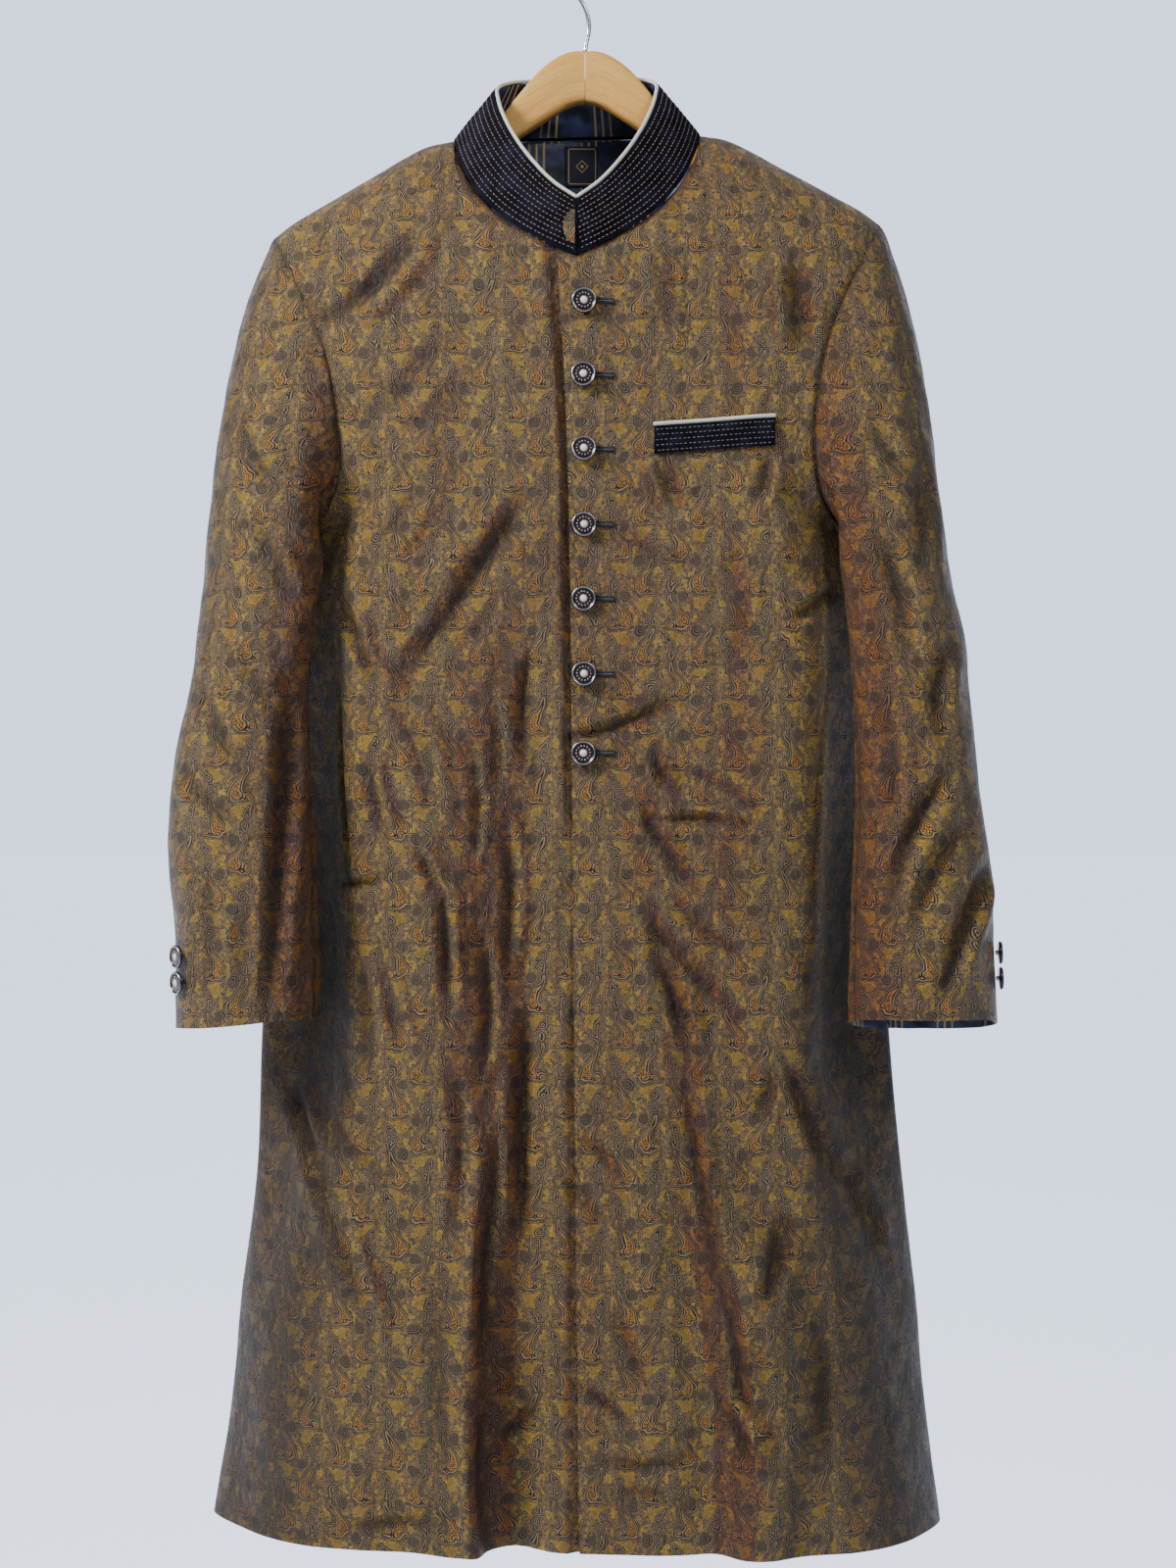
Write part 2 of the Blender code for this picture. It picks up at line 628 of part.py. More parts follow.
def armhole_ring(at):
    at = np.asarray(at, float)
    front = along(curve_of(ARMHOLE_FRONT), np.clip(at * 2, 0, 1))
    rear = along(curve_of(ARMHOLE_BACK)[::-1], np.clip(at * 2 - 1, 0, 1))
    return np.where((at <= 0.5)[:, None], front, rear)


def sleeve_row(side, length, at):
    """length 0 at the armhole, 1 at the end of the sleeve head, 2 at the cuff."""
    rows = SLEEVE_RIGHT if side > 0 else SLEEVE_LEFT
    wave = np.sin(math.pi * at)
    if length <= 1:
        t = length
        start = armhole_ring(at)
        tilt = HANG_TILT * start[:, 0] * side
        start[:, 2] += tilt * smoothstep(-0.50, -0.30, start[:, 2])
        end = sleeve_ring(rows, RING_Z, at)
        drop = -(0.035 + 0.245 * wave**2)
        swing = np.sin(2 * math.pi * at)
        reach = np.where(swing > 0, -0.060, -0.020) * swing
        leave = np.stack([0.030 + 0.100 * wave, reach, drop], axis=1)
        arrive = np.stack([(0.050 if side > 0 else 0.024) * wave, reach * 0.15, drop], axis=1)
        h00, h10 = 2 * t**3 - 3 * t**2 + 1, t**3 - 2 * t**2 + t
        h01, h11 = 3 * t**2 - 2 * t**3, t**3 - t**2
        points = h00 * start + h10 * leave + h01 * end + h11 * arrive
    else:
        end_z = rows["z"][-1]
        points = sleeve_ring(rows, RING_Z + (end_z - RING_Z) * (length - 1), at)
        pick = 1 if side > 0 else 0
        out = smoothstep(0.20, 0.32, points[:, 0])
        rear = smoothstep(-0.09, 0.0, points[:, 1])
        drop = CUFF["outer_drop"][pick] * out + CUFF["back_drop"][pick] * rear
        points[:, 2] -= drop * (length - 1) ** 3
    points[:, 0] *= side
    return points


SLEEVE_HEAD_ROWS = np.array([0, 0.10, 0.22, 0.36, 0.52, 0.68, 0.84])
SLEEVE_ROWS = np.concatenate([SLEEVE_HEAD_ROWS, 1 + np.linspace(0, 1, 8)])
ROUND = np.concatenate([ARMHOLE_STEPS / 2, 1 - ARMHOLE_STEPS[-2::-1] / 2])
FRONT_SEAM, BACK_SEAM = 2, 12


def make_sleeve(side, name):
    grid = np.array([sleeve_row(side, length, ROUND[:-1]) for length in SLEEVE_ROWS])
    centre = grid.mean(axis=1, keepdims=True)
    wrapped = np.concatenate([grid[:, -2:], grid, grid[:, :2]], axis=1)
    n = np.cross(np.gradient(wrapped, axis=0), np.gradient(wrapped, axis=1))[:, 2:-2]
    n = unit(n)
    toward = np.sign((n[8:] * (centre - grid)[8:]).sum())
    inward = n * toward
    inward[0] = armhole_inward(grid[0], side)
    inner = grid + WALL * inward
    shift = grid[0].copy()
    shorten(grid, "first")
    inner[0] += grid[0] - shift
    pieces = {
        "top": range(FRONT_SEAM, BACK_SEAM + 1),
        "under": range(BACK_SEAM, len(ROUND) + FRONT_SEAM),
    }
    for part, columns in pieces.items():
        pick = [j % (len(ROUND) - 1) for j in columns]
        outer_part, inner_part = grid[:, pick].copy(), inner[:, pick].copy()
        before = outer_part.copy()
        shorten(outer_part, "left", 2 * SEAM)
        shorten(outer_part, "right", 2 * SEAM)
        inner_part += outer_part - before
        shell(f"{name}_{part}", world(outer_part), world(inner_part), BROCADE_SLEEVE)


make_sleeve(-1.0, "sleeve_right")
make_sleeve(1.0, "sleeve_left")


# ---------------------------------------------------------------- collar
def collar_line(rows, at):
    """A closed line of the collar: shares 0 to 1 from centre front by the left side and back."""
    half = curve_of(rows) if isinstance(rows, dict) else rows
    at = np.asarray(at, float)
    left = along(half, np.clip(at * 2, 0, 1)) * np.array([-1.0, 1.0, 1.0])
    right = along(half, np.clip(2 - at * 2, 0, 1))
    points = np.where((at <= 0.5)[:, None], left, right)
    points[:, 2] += HANG_TILT * points[:, 0]
    return points


NECK_LINE = np.concatenate([curve_of(NECK_FRONT), curve_of(NECK_BACK)[1:]])


def collar_grid(at, up):
    low = collar_line(NECK_LINE, at)
    high = collar_line(COLLAR_TOP, at)
    up = np.asarray(up, float)[:, None, None]
    grid = low + (high - low) * up
    out = grid.copy()
    out[:, :, 2] = 0
    out[:, :, 1] += 0.010
    return grid + unit(out) * 0.0012 * np.sin(math.pi * up)


def collar_inward(grid):
    centre = np.array([0.0, -0.010, 0.0])
    outward = grid - centre
    outward[:, :, 2] = 0
    n = np.cross(np.gradient(grid, axis=0), np.gradient(grid, axis=1))
    n = unit(n)
    return -n * np.sign((n * outward).sum())


BAND = np.linspace(0.0014, 0.9986, 37)
band = collar_grid(BAND, [0.015, 0.08, 0.50, 1.0])
band_in = collar_inward(band)
band_low = band.copy()
shorten(band_low, "first")
band_low[0] += SEAM * unit(band[1] - band[0])
collar = shell("collar", world(band_low), world(band_low + COLLAR_WALL * band_in), VELVET)

skin_outer = (band_low + (COLLAR_WALL + SKIN_GAP) * band_in)[1:, 1:-1]
skin_inner = skin_outer + COLLAR_LINING_WALL * band_in[1:, 1:-1]
shell("collar_lining", world(skin_outer), world(skin_inner), LINING)


def tube(name, points, radius, paint, bevel=1, closed=False):
    data = bpy.data.curves.new(name, "CURVE")
    data.dimensions = "3D"
    data.bevel_depth = radius
    data.bevel_resolution = bevel
    data.use_fill_caps = True
    line = data.splines.new("POLY")
    line.points.add(len(points) - 1)
    for point, place in zip(line.points, points):
        point.co = (*place, 1.0)
    line.use_cyclic_u = closed
    line.use_smooth = True
    return put(name, data, paint)


rim = collar_grid(BAND, [0.9, 1.0])
rim_up = unit(rim[1] - rim[0])
rim_in = collar_inward(rim)[1]
piping_line = rim[1] + rim_up * (PIPING_RADIUS + SKIN_GAP) + rim_in * 0.0018
tube("collar_piping", world(piping_line), PIPING_RADIUS, PIPING)


# ---------------------------------------------------------------- small cloth on the panels
def surface_of(obj):
    points = [v.co.copy() for v in obj.data.vertices]
    faces = [tuple(p.vertices) for p in obj.data.polygons]
    triangles = []
    for face in faces:
        triangles.append((face[0], face[1], face[2]))
        triangles.append((face[0], face[2], face[3]))
        triangles.append((face[0], face[1], face[3]))
        triangles.append((face[1], face[2], face[3]))
    return BVHTree.FromPolygons(points, triangles)


def front_of(tree, x, z):
    """The outermost place of the cloth straight behind a point, seen from the front."""
    place = tree.ray_cast(Vector((x, -1.0, z)), Vector((0.0, 1.0, 0.0)))[0]
    return place.y


def laid_on(tree, name, grid_x, grid_z, lift, thickness, paint):
    """A thin patch that lies over a panel, its back face lift in front of the cloth."""
    outer, inner = [], []
    for row_x, row_z in zip(grid_x, grid_z):
        depth = [front_of(tree, x, z) for x, z in zip(row_x, row_z)]
        inner.append([(x, y - lift, z) for x, y, z in zip(row_x, depth, row_z)])
        outer.append([(x, y - lift - thickness, z) for x, y, z in zip(row_x, depth, row_z)])
    return shell(name, np.array(outer), np.array(inner), paint)


front_tree = surface_of(front_left)
across = np.linspace(0, 1, 10)
pocket_x = CENTRE_X + POCKET_INNER_X + (POCKET_OUTER_X - POCKET_INNER_X) * across
pocket_top = POCKET_TOP_Z + POCKET_RISE * across
welt_x, welt_z = [], []
for down in (0.0, 0.33, 0.67, 1.0):
    welt_x.append(pocket_x)
    welt_z.append(pocket_top - 0.0030 - (POCKET_HEIGHT - 0.0030) * down)
laid_on(front_tree, "pocket_welt", welt_x, welt_z, 0.0004, 0.0018, VELVET)
pocket_line = []
for x, z in zip(pocket_x, pocket_top - 0.0010):
    pocket_line.append((x, front_of(front_tree, x, z) - PIPING_RADIUS - 0.0004, z))
tube("pocket_piping", pocket_line, PIPING_RADIUS, PIPING)

# The small tab sewn under the collar's overlapping end, over its other end.
TAB_WIDTH, TAB_HALF_HEIGHT = 0.0090, 0.0125
collar_tree = surface_of(collar)
tab_x, tab_z = [], []
tab_middle_z = -0.2440
for k in np.linspace(-1, 1, 9):
    reach = TAB_WIDTH * math.sqrt(max(1 - k * k, 0.03))
    right = CENTRE_X + COLLAR_SLIT_X - 0.0012
    tab_x.append(np.linspace(right - reach, right, 4))
    tab_z.append(np.full(4, tab_middle_z - TAB_HALF_HEIGHT * k))
tab_outer, tab_inner = [], []
for row_x, row_z in zip(tab_x, tab_z):
    depth = min(front_of(collar_tree, x, z) for x, z in zip(row_x, row_z))
    tab_inner.append([(x, depth - 0.0006, z) for x, z in zip(row_x, row_z)])
    tab_outer.append([(x, depth - 0.0016, z) for x, z in zip(row_x, row_z)])
shell("collar_tab", np.array(tab_outer), np.array(tab_inner), BROCADE)


# The lining where it shows: the upper back, seen through the neck.
def back_inside(width, down, offset):
    """Places inside the back, offset in from its outer face."""
    x = np.linspace(-width, width, 7)
    neck = along(curve_of(NECK_BACK)[::-1], np.linspace(0, 1, 40))
    top = np.interp(np.abs(x), neck[:, 0], neck[:, 2]) - 0.0022
    top_y = np.interp(np.abs(x), neck[:, 0], neck[:, 1])
    rows = []
    for t in (0.0, 0.2, 0.45, 1.0):
        z = top - down * t
        flat = 0.0385
        y = top_y + (flat - top_y) * np.clip(t * 2.2, 0, 1) - offset
        rows.append(np.stack([x, y, z + HANG_TILT * x], axis=1))
    return np.array(rows)


def back_of(tree, x, z):
    """The inner face of the back panel straight behind a point inside the coat."""
    place = tree.ray_cast(Vector((x, 0.0, z)), Vector((0.0, 1.0, 0.0)))[0]
    return place.y if place is not None else None


back_tree = surface_of(back)
lining_outer = world(back_inside(0.070, 0.120, 0.0))
for row in lining_outer:
    for point in row:
        hit = back_of(back_tree, point[0], point[2])
        point[1] = (hit if hit is not None else point[1] - WALL) - SKIN_GAP - 0.0003
lining_inner = lining_outer.copy()
lining_inner[:, :, 1] -= 0.0010
back_lining = shell("back_lining", lining_outer, lining_inner, LINING)

LABEL_WIDTH, LABEL_HEIGHT, LABEL_WALL = 0.0265, 0.0330, 0.0010
label_x = CENTRE_X + 0.0040 + np.linspace(-0.5, 0.5, 4) * LABEL_WIDTH
lining_tree = surface_of(back_lining)
label_outer, label_inner = [], []
for z in np.linspace(-0.1480, -0.1480 - LABEL_HEIGHT, 4):
    depth = [lining_tree.ray_cast(Vector((x, 0.0, z)), Vector((0.0, 1.0, 0.0)))[0].y for x in label_x]
    label_outer.append([(x, min(depth) - 0.0004, z) for x in label_x])
    label_inner.append([(x, min(depth) - 0.0004 - LABEL_WALL, z) for x in label_x])
shell("neck_label", np.array(label_outer), np.array(label_inner), LABEL)


# ---------------------------------------------------------------- buttons and buttonholes
def button_mesh(name, radius):
    """A domed button on a short shank, turned about its own axis."""
    k = radius / 0.0098
    outline = (
        (0.0000, 0.0062), (0.0018, 0.0058), (0.0028, 0.0046), (0.0070, 0.0045),
        (0.0084, 0.0054), (0.0098, 0.0042), (0.0092, 0.0026), (0.0022, 0.0022),
        (0.0020, 0.0000), (0.0000, 0.0000),
    )
    data = bpy.data.meshes.new(name)
    points = [(r * k, 0.0, h) for r, h in outline]
    data.from_pydata(points, [(i, i + 1) for i in range(len(points) - 1)], [])
    return data


def add_button(name, radius, place, outward):
    obj = put(name, button_mesh(name, radius), BUTTON)
    turn = obj.modifiers.new("turn", "SCREW")
    turn.axis = "Z"
    turn.angle = 2 * math.pi
    turn.steps = 18
    turn.render_steps = 18
    turn.use_merge_vertices = True
    turn.merge_threshold = 0.0001
    turn.use_smooth_shade = True
    obj.rotation_mode = "QUATERNION"
    obj.rotation_quaternion = Vector(outward).to_track_quat("Z", "Y")
    obj.location = place
    return obj


button_z = BUTTON_FIRST_Z - np.concatenate([[0], np.cumsum(BUTTON_STEPS)])
for number, z in enumerate(button_z, start=1):
    x = CENTRE_X + BUTTON_X
    y = front_of(front_tree, x, z)
    add_button(f"button_{number}", BUTTON_RADIUS, (x, y - 0.0004, z), (0.0, -1.0, 0.0))
    bar_x = x + 0.0090 + LOOP_LENGTH / 2
    ends = [front_of(front_tree, bar_x + k * LOOP_LENGTH, z) for k in (-0.5, 0.0, 0.5)]
    bpy.ops.mesh.primitive_cube_add(size=1.0)
    bar = bpy.context.object
    bar.name = f"loop_{number}"
    for vertex in bar.data.vertices:
        vertex.co.x *= LOOP_LENGTH
        vertex.co.y *= LOOP_THICKNESS
        vertex.co.z *= LOOP_HEIGHT
    bar.location = (bar_x, min(ends) - LOOP_THICKNESS / 2 - 0.0004, z)
    bar.rotation_euler = (0.0, 0.0, math.atan2(ends[2] - ends[0], LOOP_LENGTH))
    for old_home in list(bar.users_collection):
        old_home.objects.unlink(bar)
    coat.objects.link(bar)
    bar.data.materials.append(LOOP)
    soften = bar.modifiers.new("soften", "BEVEL")
    soften.width = 0.0005
    soften.segments = 1


def cuff_buttons(side, name):
    """Two buttons up the outer seam of a sleeve, from its cuff."""
    rows = SLEEVE_RIGHT if side > 0 else SLEEVE_LEFT
    span = RING_Z - rows["z"][-1]
    for number, rise in enumerate(CUFF_BUTTON_STEPS, start=1):
        length = 2 - rise / span
        share = 0.435 if side < 0 else 0.492
        spots = sleeve_row(side, length, np.array([share - 0.02, share, share + 0.02]))
        over = sleeve_row(side, length - 0.03, np.array([share]))[0]
        outward = unit(np.cross(spots[2] - spots[0], over - spots[1]))
        middle = sleeve_row(side, length, np.linspace(0, 1, 20)).mean(axis=0)
        if np.dot(outward, spots[1] - middle) < 0:
            outward = -outward
        place = spots[1] + outward * 0.0004
        add_button(f"{name}_{number}", CUFF_BUTTON_RADIUS, world(place), outward)


cuff_buttons(-1.0, "cuff_button_right")
cuff_buttons(1.0, "cuff_button_left")

# ---------------------------------------------------------------- hanger
ARM = table(
    "x top bottom y half",
    (0.0002, -0.0828, -0.1238, 0.0040, 0.0070),
    (0.0110, -0.0832, -0.1262, 0.0038, 0.0072),
    (0.0230, -0.0885, -0.1330, 0.0032, 0.0074),
    (0.0360, -0.0985, -0.1415, 0.0026, 0.0074),
    (0.0500, -0.1145, -0.1508, 0.0018, 0.0072),
    (0.0660, -0.1350, -0.1620, 0.0008, 0.0070),
    (0.0780, -0.1500, -0.1715, 0.0002, 0.0068),
    (0.0920, -0.1610, -0.1805, -0.0004, 0.0066),
    (0.1200, -0.1700, -0.1915, -0.0012, 0.0062),
    (0.1500, -0.1850, -0.2050, -0.0016, 0.0060),
    (0.1800, -0.2010, -0.2190, -0.0020, 0.0056),
    (0.2010, -0.2120, -0.2275, -0.0022, 0.0050),
    (0.2100, -0.2185, -0.2270, -0.0022, 0.0030),
)


def arm_ring(row):
    """A rounded section of the wood, twelve points."""
    top, bottom, y, half = (ARM[n][row] for n in ("top", "bottom", "y", "half"))
    middle, tall = (top + bottom) / 2, (top - bottom) / 2
    points = []
    for k in range(12):
        angle = 2 * math.pi * (k + 0.5) / 12
        c, s = math.cos(angle), math.sin(angle)
        squared = 0.45
        dy = half * math.copysign(abs(c) ** squared, c)
        dz = tall * math.copysign(abs(s) ** squared, s)
        points.append((ARM["x"][row], y + dy, middle + dz))
    return points


def make_arm(name, side):
    mesh = bmesh.new()
    rings = []
    for row in range(len(ARM["x"])):
        rings.append([mesh.verts.new((p[0] * side, p[1], p[2])) for p in arm_ring(row)])
    for first, second in zip(rings, rings[1:]):
        for k in range(12):
            n = (k + 1) % 12
            mesh.faces.new((first[k], first[n], second[n], second[k]))
    mesh.faces.new(rings[0])
    mesh.faces.new(rings[-1])
    bmesh.ops.recalc_face_normals(mesh, faces=mesh.faces)
    data = bpy.data.meshes.new(name)
    mesh.to_mesh(data)
    mesh.free()
    data.shade_smooth()
    data.set_sharp_from_angle(angle=math.radians(40))
    return put(name, data, WOOD)


make_arm("hanger_arm_right", -1.0)
make_arm("hanger_arm_left", 1.0)

# The wire: a crooked stem, then the bend that a rail carries, open on its right.
STEM = table(
    "x z",
    (0.0000, -0.0822),
    (0.0008, -0.0760),
    (0.0030, -0.0660),
    (0.0026, -0.0560),
    (-0.0020, -0.0450),
)
stem = [(x, 0.0040, z) for x, z in zip(STEM["x"], STEM["z"])]
bend = []
centre_z = -(HOOK_RADIUS - WIRE_RADIUS)
for angle in np.linspace(math.radians(232), math.radians(-25), 22):
    bend.append((HOOK_RADIUS * math.cos(angle), 0.0, centre_z + HOOK_RADIUS * math.sin(angle)))
path = along(np.array(stem + bend), np.linspace(0, 1, 44))
path[:, 1] = 0.0040 * (1 - smoothstep(-0.070, -0.040, path[:, 2]))
tube("hanger_hook", [tuple(p) for p in path], WIRE_RADIUS, WIRE, bevel=2)
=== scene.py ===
"""The looks of a paisley brocade sherwani coat on its wooden hanger.

Metres, +Z up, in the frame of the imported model. The coat's front faces -Y. "left" and "right" in
the tables are towards -X and +X; the panels are named for the wearer's sides. The cloth is drawn
again here as fine shells on the solids' own sections, with creases, seams and stitches added.
"""

import math

import bpy
import numpy as np
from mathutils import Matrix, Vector, noise
from mathutils.bvhtree import BVHTree

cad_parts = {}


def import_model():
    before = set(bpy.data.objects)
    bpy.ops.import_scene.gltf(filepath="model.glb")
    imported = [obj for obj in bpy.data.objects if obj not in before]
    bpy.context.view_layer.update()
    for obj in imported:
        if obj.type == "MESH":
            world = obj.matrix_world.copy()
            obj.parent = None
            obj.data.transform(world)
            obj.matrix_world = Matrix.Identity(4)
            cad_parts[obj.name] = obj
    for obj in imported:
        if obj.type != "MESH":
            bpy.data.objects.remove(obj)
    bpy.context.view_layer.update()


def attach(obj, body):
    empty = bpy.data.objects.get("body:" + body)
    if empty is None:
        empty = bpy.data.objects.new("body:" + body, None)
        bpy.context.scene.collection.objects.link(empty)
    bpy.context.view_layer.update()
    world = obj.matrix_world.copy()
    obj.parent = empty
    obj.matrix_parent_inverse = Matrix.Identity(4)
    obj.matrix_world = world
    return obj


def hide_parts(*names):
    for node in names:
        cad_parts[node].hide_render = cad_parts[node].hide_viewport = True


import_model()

# ---------------------------------------------------------------- sizes shared with the solids
CENTRE_X = -0.0065
WALL = 0.0020
HEM_Z = -1.267
HEM_TILT = -0.012
PATCH_Z = -0.520
SIDE_SHARE = 0.10
NECK_SHARE = 0.42
HANG_TILT = 0.022
OVERLAP_TOP_X = -0.0115
OVERLAP_HEM_X = 0.0020
HALF_WIDTH = 0.28
UNDERLAP_X = 0.028
COLLAR_WALL = 0.0028
COLLAR_LINING_WALL = 0.0010
SKIN_GAP = 0.0004
PIPING_RADIUS = 0.0015
BUTTON_RADIUS = 0.0098
BUTTON_FIRST_Z = -0.3005
BUTTON_STEPS = (0.0570, 0.0575, 0.0582, 0.0571, 0.0586, 0.0612)
BUTTON_X = 0.0055
LOOP_LENGTH = 0.0150
LOOP_HEIGHT = 0.0042
CUFF_BUTTON_RADIUS = 0.0090
CUFF_BUTTON_STEPS = (0.052, 0.033)
POCKET_INNER_X = 0.0600
POCKET_OUTER_X = 0.1540
POCKET_TOP_Z = -0.3945
POCKET_HEIGHT = 0.0240
POCKET_RISE = 0.0073
HOOK_RADIUS = 0.0195
WIRE_RADIUS = 0.0018
MM = 1000.0

# ---------------------------------------------------------------- camera
camera_data = bpy.data.cameras.new("camera")
camera_data.lens = 40.3
camera_data.sensor_width = 36.0
camera = bpy.data.objects.new("camera", camera_data)
camera.location = (0.0024, -1.415, -0.674)
camera.rotation_euler = (math.pi / 2, 0.0, 0.0)
bpy.context.scene.collection.objects.link(camera)
bpy.context.scene.camera = camera


# ---------------------------------------------------------------- tables and smooth curves
PLAIN = ("hollow", "side", "lean")  # the columns that aren't lengths


def table(names, *rows):
    """Columns by name, in metres, from rows in millimetres."""
    columns = zip(names.split(), np.array(rows, float).T)
    return {name: column if name in PLAIN else column / MM for name, column in columns}


def slopes(knots, values):
    step = np.diff(knots)
    rise = np.diff(values, axis=-1) / step
    inner = (rise[..., 1:] * step[:-1] + rise[..., :-1] * step[1:]) / (step[1:] + step[:-1])
    return np.concatenate([rise[..., :1], inner, rise[..., -1:]], axis=-1)


def smooth(knots, values, at):
    """Values given at the knots along their last axis, read smoothly at other places."""
    knots = np.asarray(knots, float)
    values = np.asarray(values, float)
    at = np.asarray(at, float)
    m = slopes(knots, values)
    i = np.clip(np.searchsorted(knots, at, side="right") - 1, 0, len(knots) - 2)
    h = knots[i + 1] - knots[i]
    t = (at - knots[i]) / h
    low = (2 * t**3 - 3 * t**2 + 1) * values[..., i] + (t**3 - 2 * t**2 + t) * h * m[..., i]
    high = (3 * t**2 - 2 * t**3) * values[..., i + 1] + (t**3 - t**2) * h * m[..., i + 1]
    return low + high


def smoothstep(a, b, x):
    t = np.clip((np.asarray(x, float) - a) / (b - a), 0, 1)
    return t * t * (3 - 2 * t)


def run_of(points):
    """How far along a line of points each one is."""
    return np.concatenate([[0], np.cumsum(np.linalg.norm(np.diff(points, axis=0), axis=1))])


def along(points, at):
    """Points on the smooth curve through the given points, by share of its length."""
    points = np.asarray(points, float)
    chord = run_of(points)
    fine = np.linspace(0, chord[-1], 400)
    run = run_of(smooth(chord, points.T, fine).T)
    where = np.interp(np.asarray(at, float) * run[-1], run, fine)
    return smooth(chord, points.T, where).T


def unit(v):
    return v / np.maximum(np.linalg.norm(v, axis=-1, keepdims=True), 1e-12)


# ---------------------------------------------------------------- the coat's sections
SECTION_SHARES = np.array([0.0, 0.36, 0.66, 0.84, 1.0, 1.16, 1.50, 2.0])
BODY_FRONT = table(
    "z front_y mid_x mid_y turn_x turn_y tuck_x tuck_y",
    (-478, -55, 95, -56, 168, -51, 202, -26), (-560, -56, 100, -57, 172, -52, 202, -22),
    (-660, -56, 100, -57, 174, -52, 204, -17), (-760, -56, 100, -57, 177, -49, 208, -9),
    (-868, -57, 102, -58, 180, -47, 214, -7), (-1012, -60, 108, -60, 194, -49, 235, -17),
    (-1087, -61, 112, -61, 204, -50, 246, -23), (-1160, -62, 116, -62, 210, -50, 252, -24),
    (-1267, -64, 120, -64, 218, -52, 262, -24),
)
BODY_REAR = table(
    "z left_x right_x side_y heel_x heel_y blade_y back_y right_in",
    (-478, 226, 226, 4, 205, 31, 37, 38, 4), (-560, 238, 238, 12, 212, 36, 40, 40, 8),
    (-660, 244, 244, 17, 216, 39, 42, 41, 8), (-760, 250, 249, 18, 220, 40, 43, 42, 6),
    (-868, 257.6, 255.1, 16, 226, 40, 43, 42, 2), (-1012, 263, 267.5, 14, 234, 40, 43, 42, 0),
    (-1087, 272.5, 275.5, 14, 240, 40, 43, 42, 0), (-1160, 279, 281.5, 14, 246, 40, 43, 42, 0),
    (-1267, 295.5, 295, 14, 256, 40, 43, 42, 8),
)
BODY = {**BODY_FRONT, **BODY_REAR}
BLADE_X = 0.118
NECK_FRONT = table(
    "x y z",
    (0, -58, -265.5), (20, -56, -256), (41.4, -52, -243.5), (62.2, -46.5, -227.5),
    (78.5, -39.5, -208.5), (90, -28, -187), (96.8, -13, -167), (99, 2, -151.5),
)
NECK_BACK = table(
    "x y z",
    (99, 2, -151.5), (86, 22, -146), (54, 34.5, -143.5), (24, 38, -142.8), (0, 38.5, -142.6),
)
COLLAR_TOP = table(
    "x y z",
    (0, -62, -223), (18, -59.5, -210), (36.5, -54, -189.5), (49, -45.5, -170), (58.5, -35, -150),
    (65, -19, -128), (66, -3, -113), (56, 13, -103.5), (35, 24, -99), (0, 28.5, -97.5),
)
SHOULDER = table(
    "x z",
    (99, -151.5), (120, -155.5), (140, -165), (160, -176.5), (185, -190.5), (210, -204.5), (230, -216),
    (245, -227.5),
)
SHOULDER_Y = 0.0020
ARMHOLE_FRONT = table(
    "x y z",
    (226, 4, -478), (208, -20, -469), (193, -37, -450), (186, -45.5, -418), (188, -48, -372),
    (196.5, -45.5, -330), (216, -37, -283), (229, -27, -258), (238, -15, -238.8), (245, 2, -227.5),
)
ARMHOLE_BACK = table(
    "x y z",
    (226, 4, -478), (212, 26, -464), (205, 35, -430), (204, 38, -380), (208, 37.5, -330),
    (220, 32, -285), (231, 24, -258), (239, 14, -238.8), (245, 2, -227.5),
)
ARMHOLE_CENTRE = np.array([0.212, -0.002, -0.352])

# The large folds that the solids have: x is the crest, left and right the half widths.
FOLD = "z x left right rise"
FOLDS = (
    table(
        FOLD,
        (-1300, -76, 34, 20, 11), (-1219, -82, 34, 20, 11), (-1158, -84, 34, 20, 11),
        (-1083, -79, 32, 20, 9), (-977, -71, 30, 18, 3), (-900, -68, 30, 18, 0),
    ),
    table(
        FOLD,
        (-1300, 142, 30, 26, 11), (-1219, 146, 32, 28, 11), (-1165, 150, 36, 30, 12),
        (-1093, 142, 36, 30, 12), (-1053, 134, 34, 30, 12), (-1009, 114, 26, 28, 10),
        (-953, 99, 20, 26, 7), (-869, 76, 14, 20, 3), (-820, 70, 12, 20, 0),
    ),
    table(
        FOLD,
        (-1110, -150, 14, 12, 0), (-1062, -168, 14, 12, 5), (-980, -214, 14, 12, 4),
        (-890, -236, 14, 12, 0),
    ),
    table(
        FOLD,
        (-1200, -12, 26, 26, 0), (-1050, -22, 26, 26, -3), (-800, -40, 30, 30, -3),
        (-650, -50, 30, 30, 0),
    ),
)
BACK_FOLDS = (
    table(
        FOLD,
        (-1300, -120, 22, 28, 8), (-1050, -110, 20, 24, 5), (-850, -100, 20, 20, 0),
    ),
    table(
        FOLD,
        (-1300, 70, 30, 22, 9), (-1050, 74, 24, 20, 6), (-820, 80, 20, 20, 0),
    ),
    table(
        FOLD,
        (-1300, -20, 24, 20, -6), (-1060, -14, 20, 18, -3), (-900, -10, 18, 18, 0),
    ),
)


def drape(folds, x, z):
    """How far the folds lift the cloth out at a place on it."""
    rise = np.zeros_like(x)
    for fold in folds:
        order = np.argsort(fold["z"])
        knots = fold["z"][order]
        at = {name: np.interp(z, knots, fold[name][order]) for name in ("x", "left", "right")}
        lift = np.interp(z, knots, fold["rise"][order], right=0.0)
        off = x - at["x"]
        half = np.where(off < 0, at["left"], at["right"])
        rise = rise + lift * np.exp(-((off / half) ** 2))
    return rise


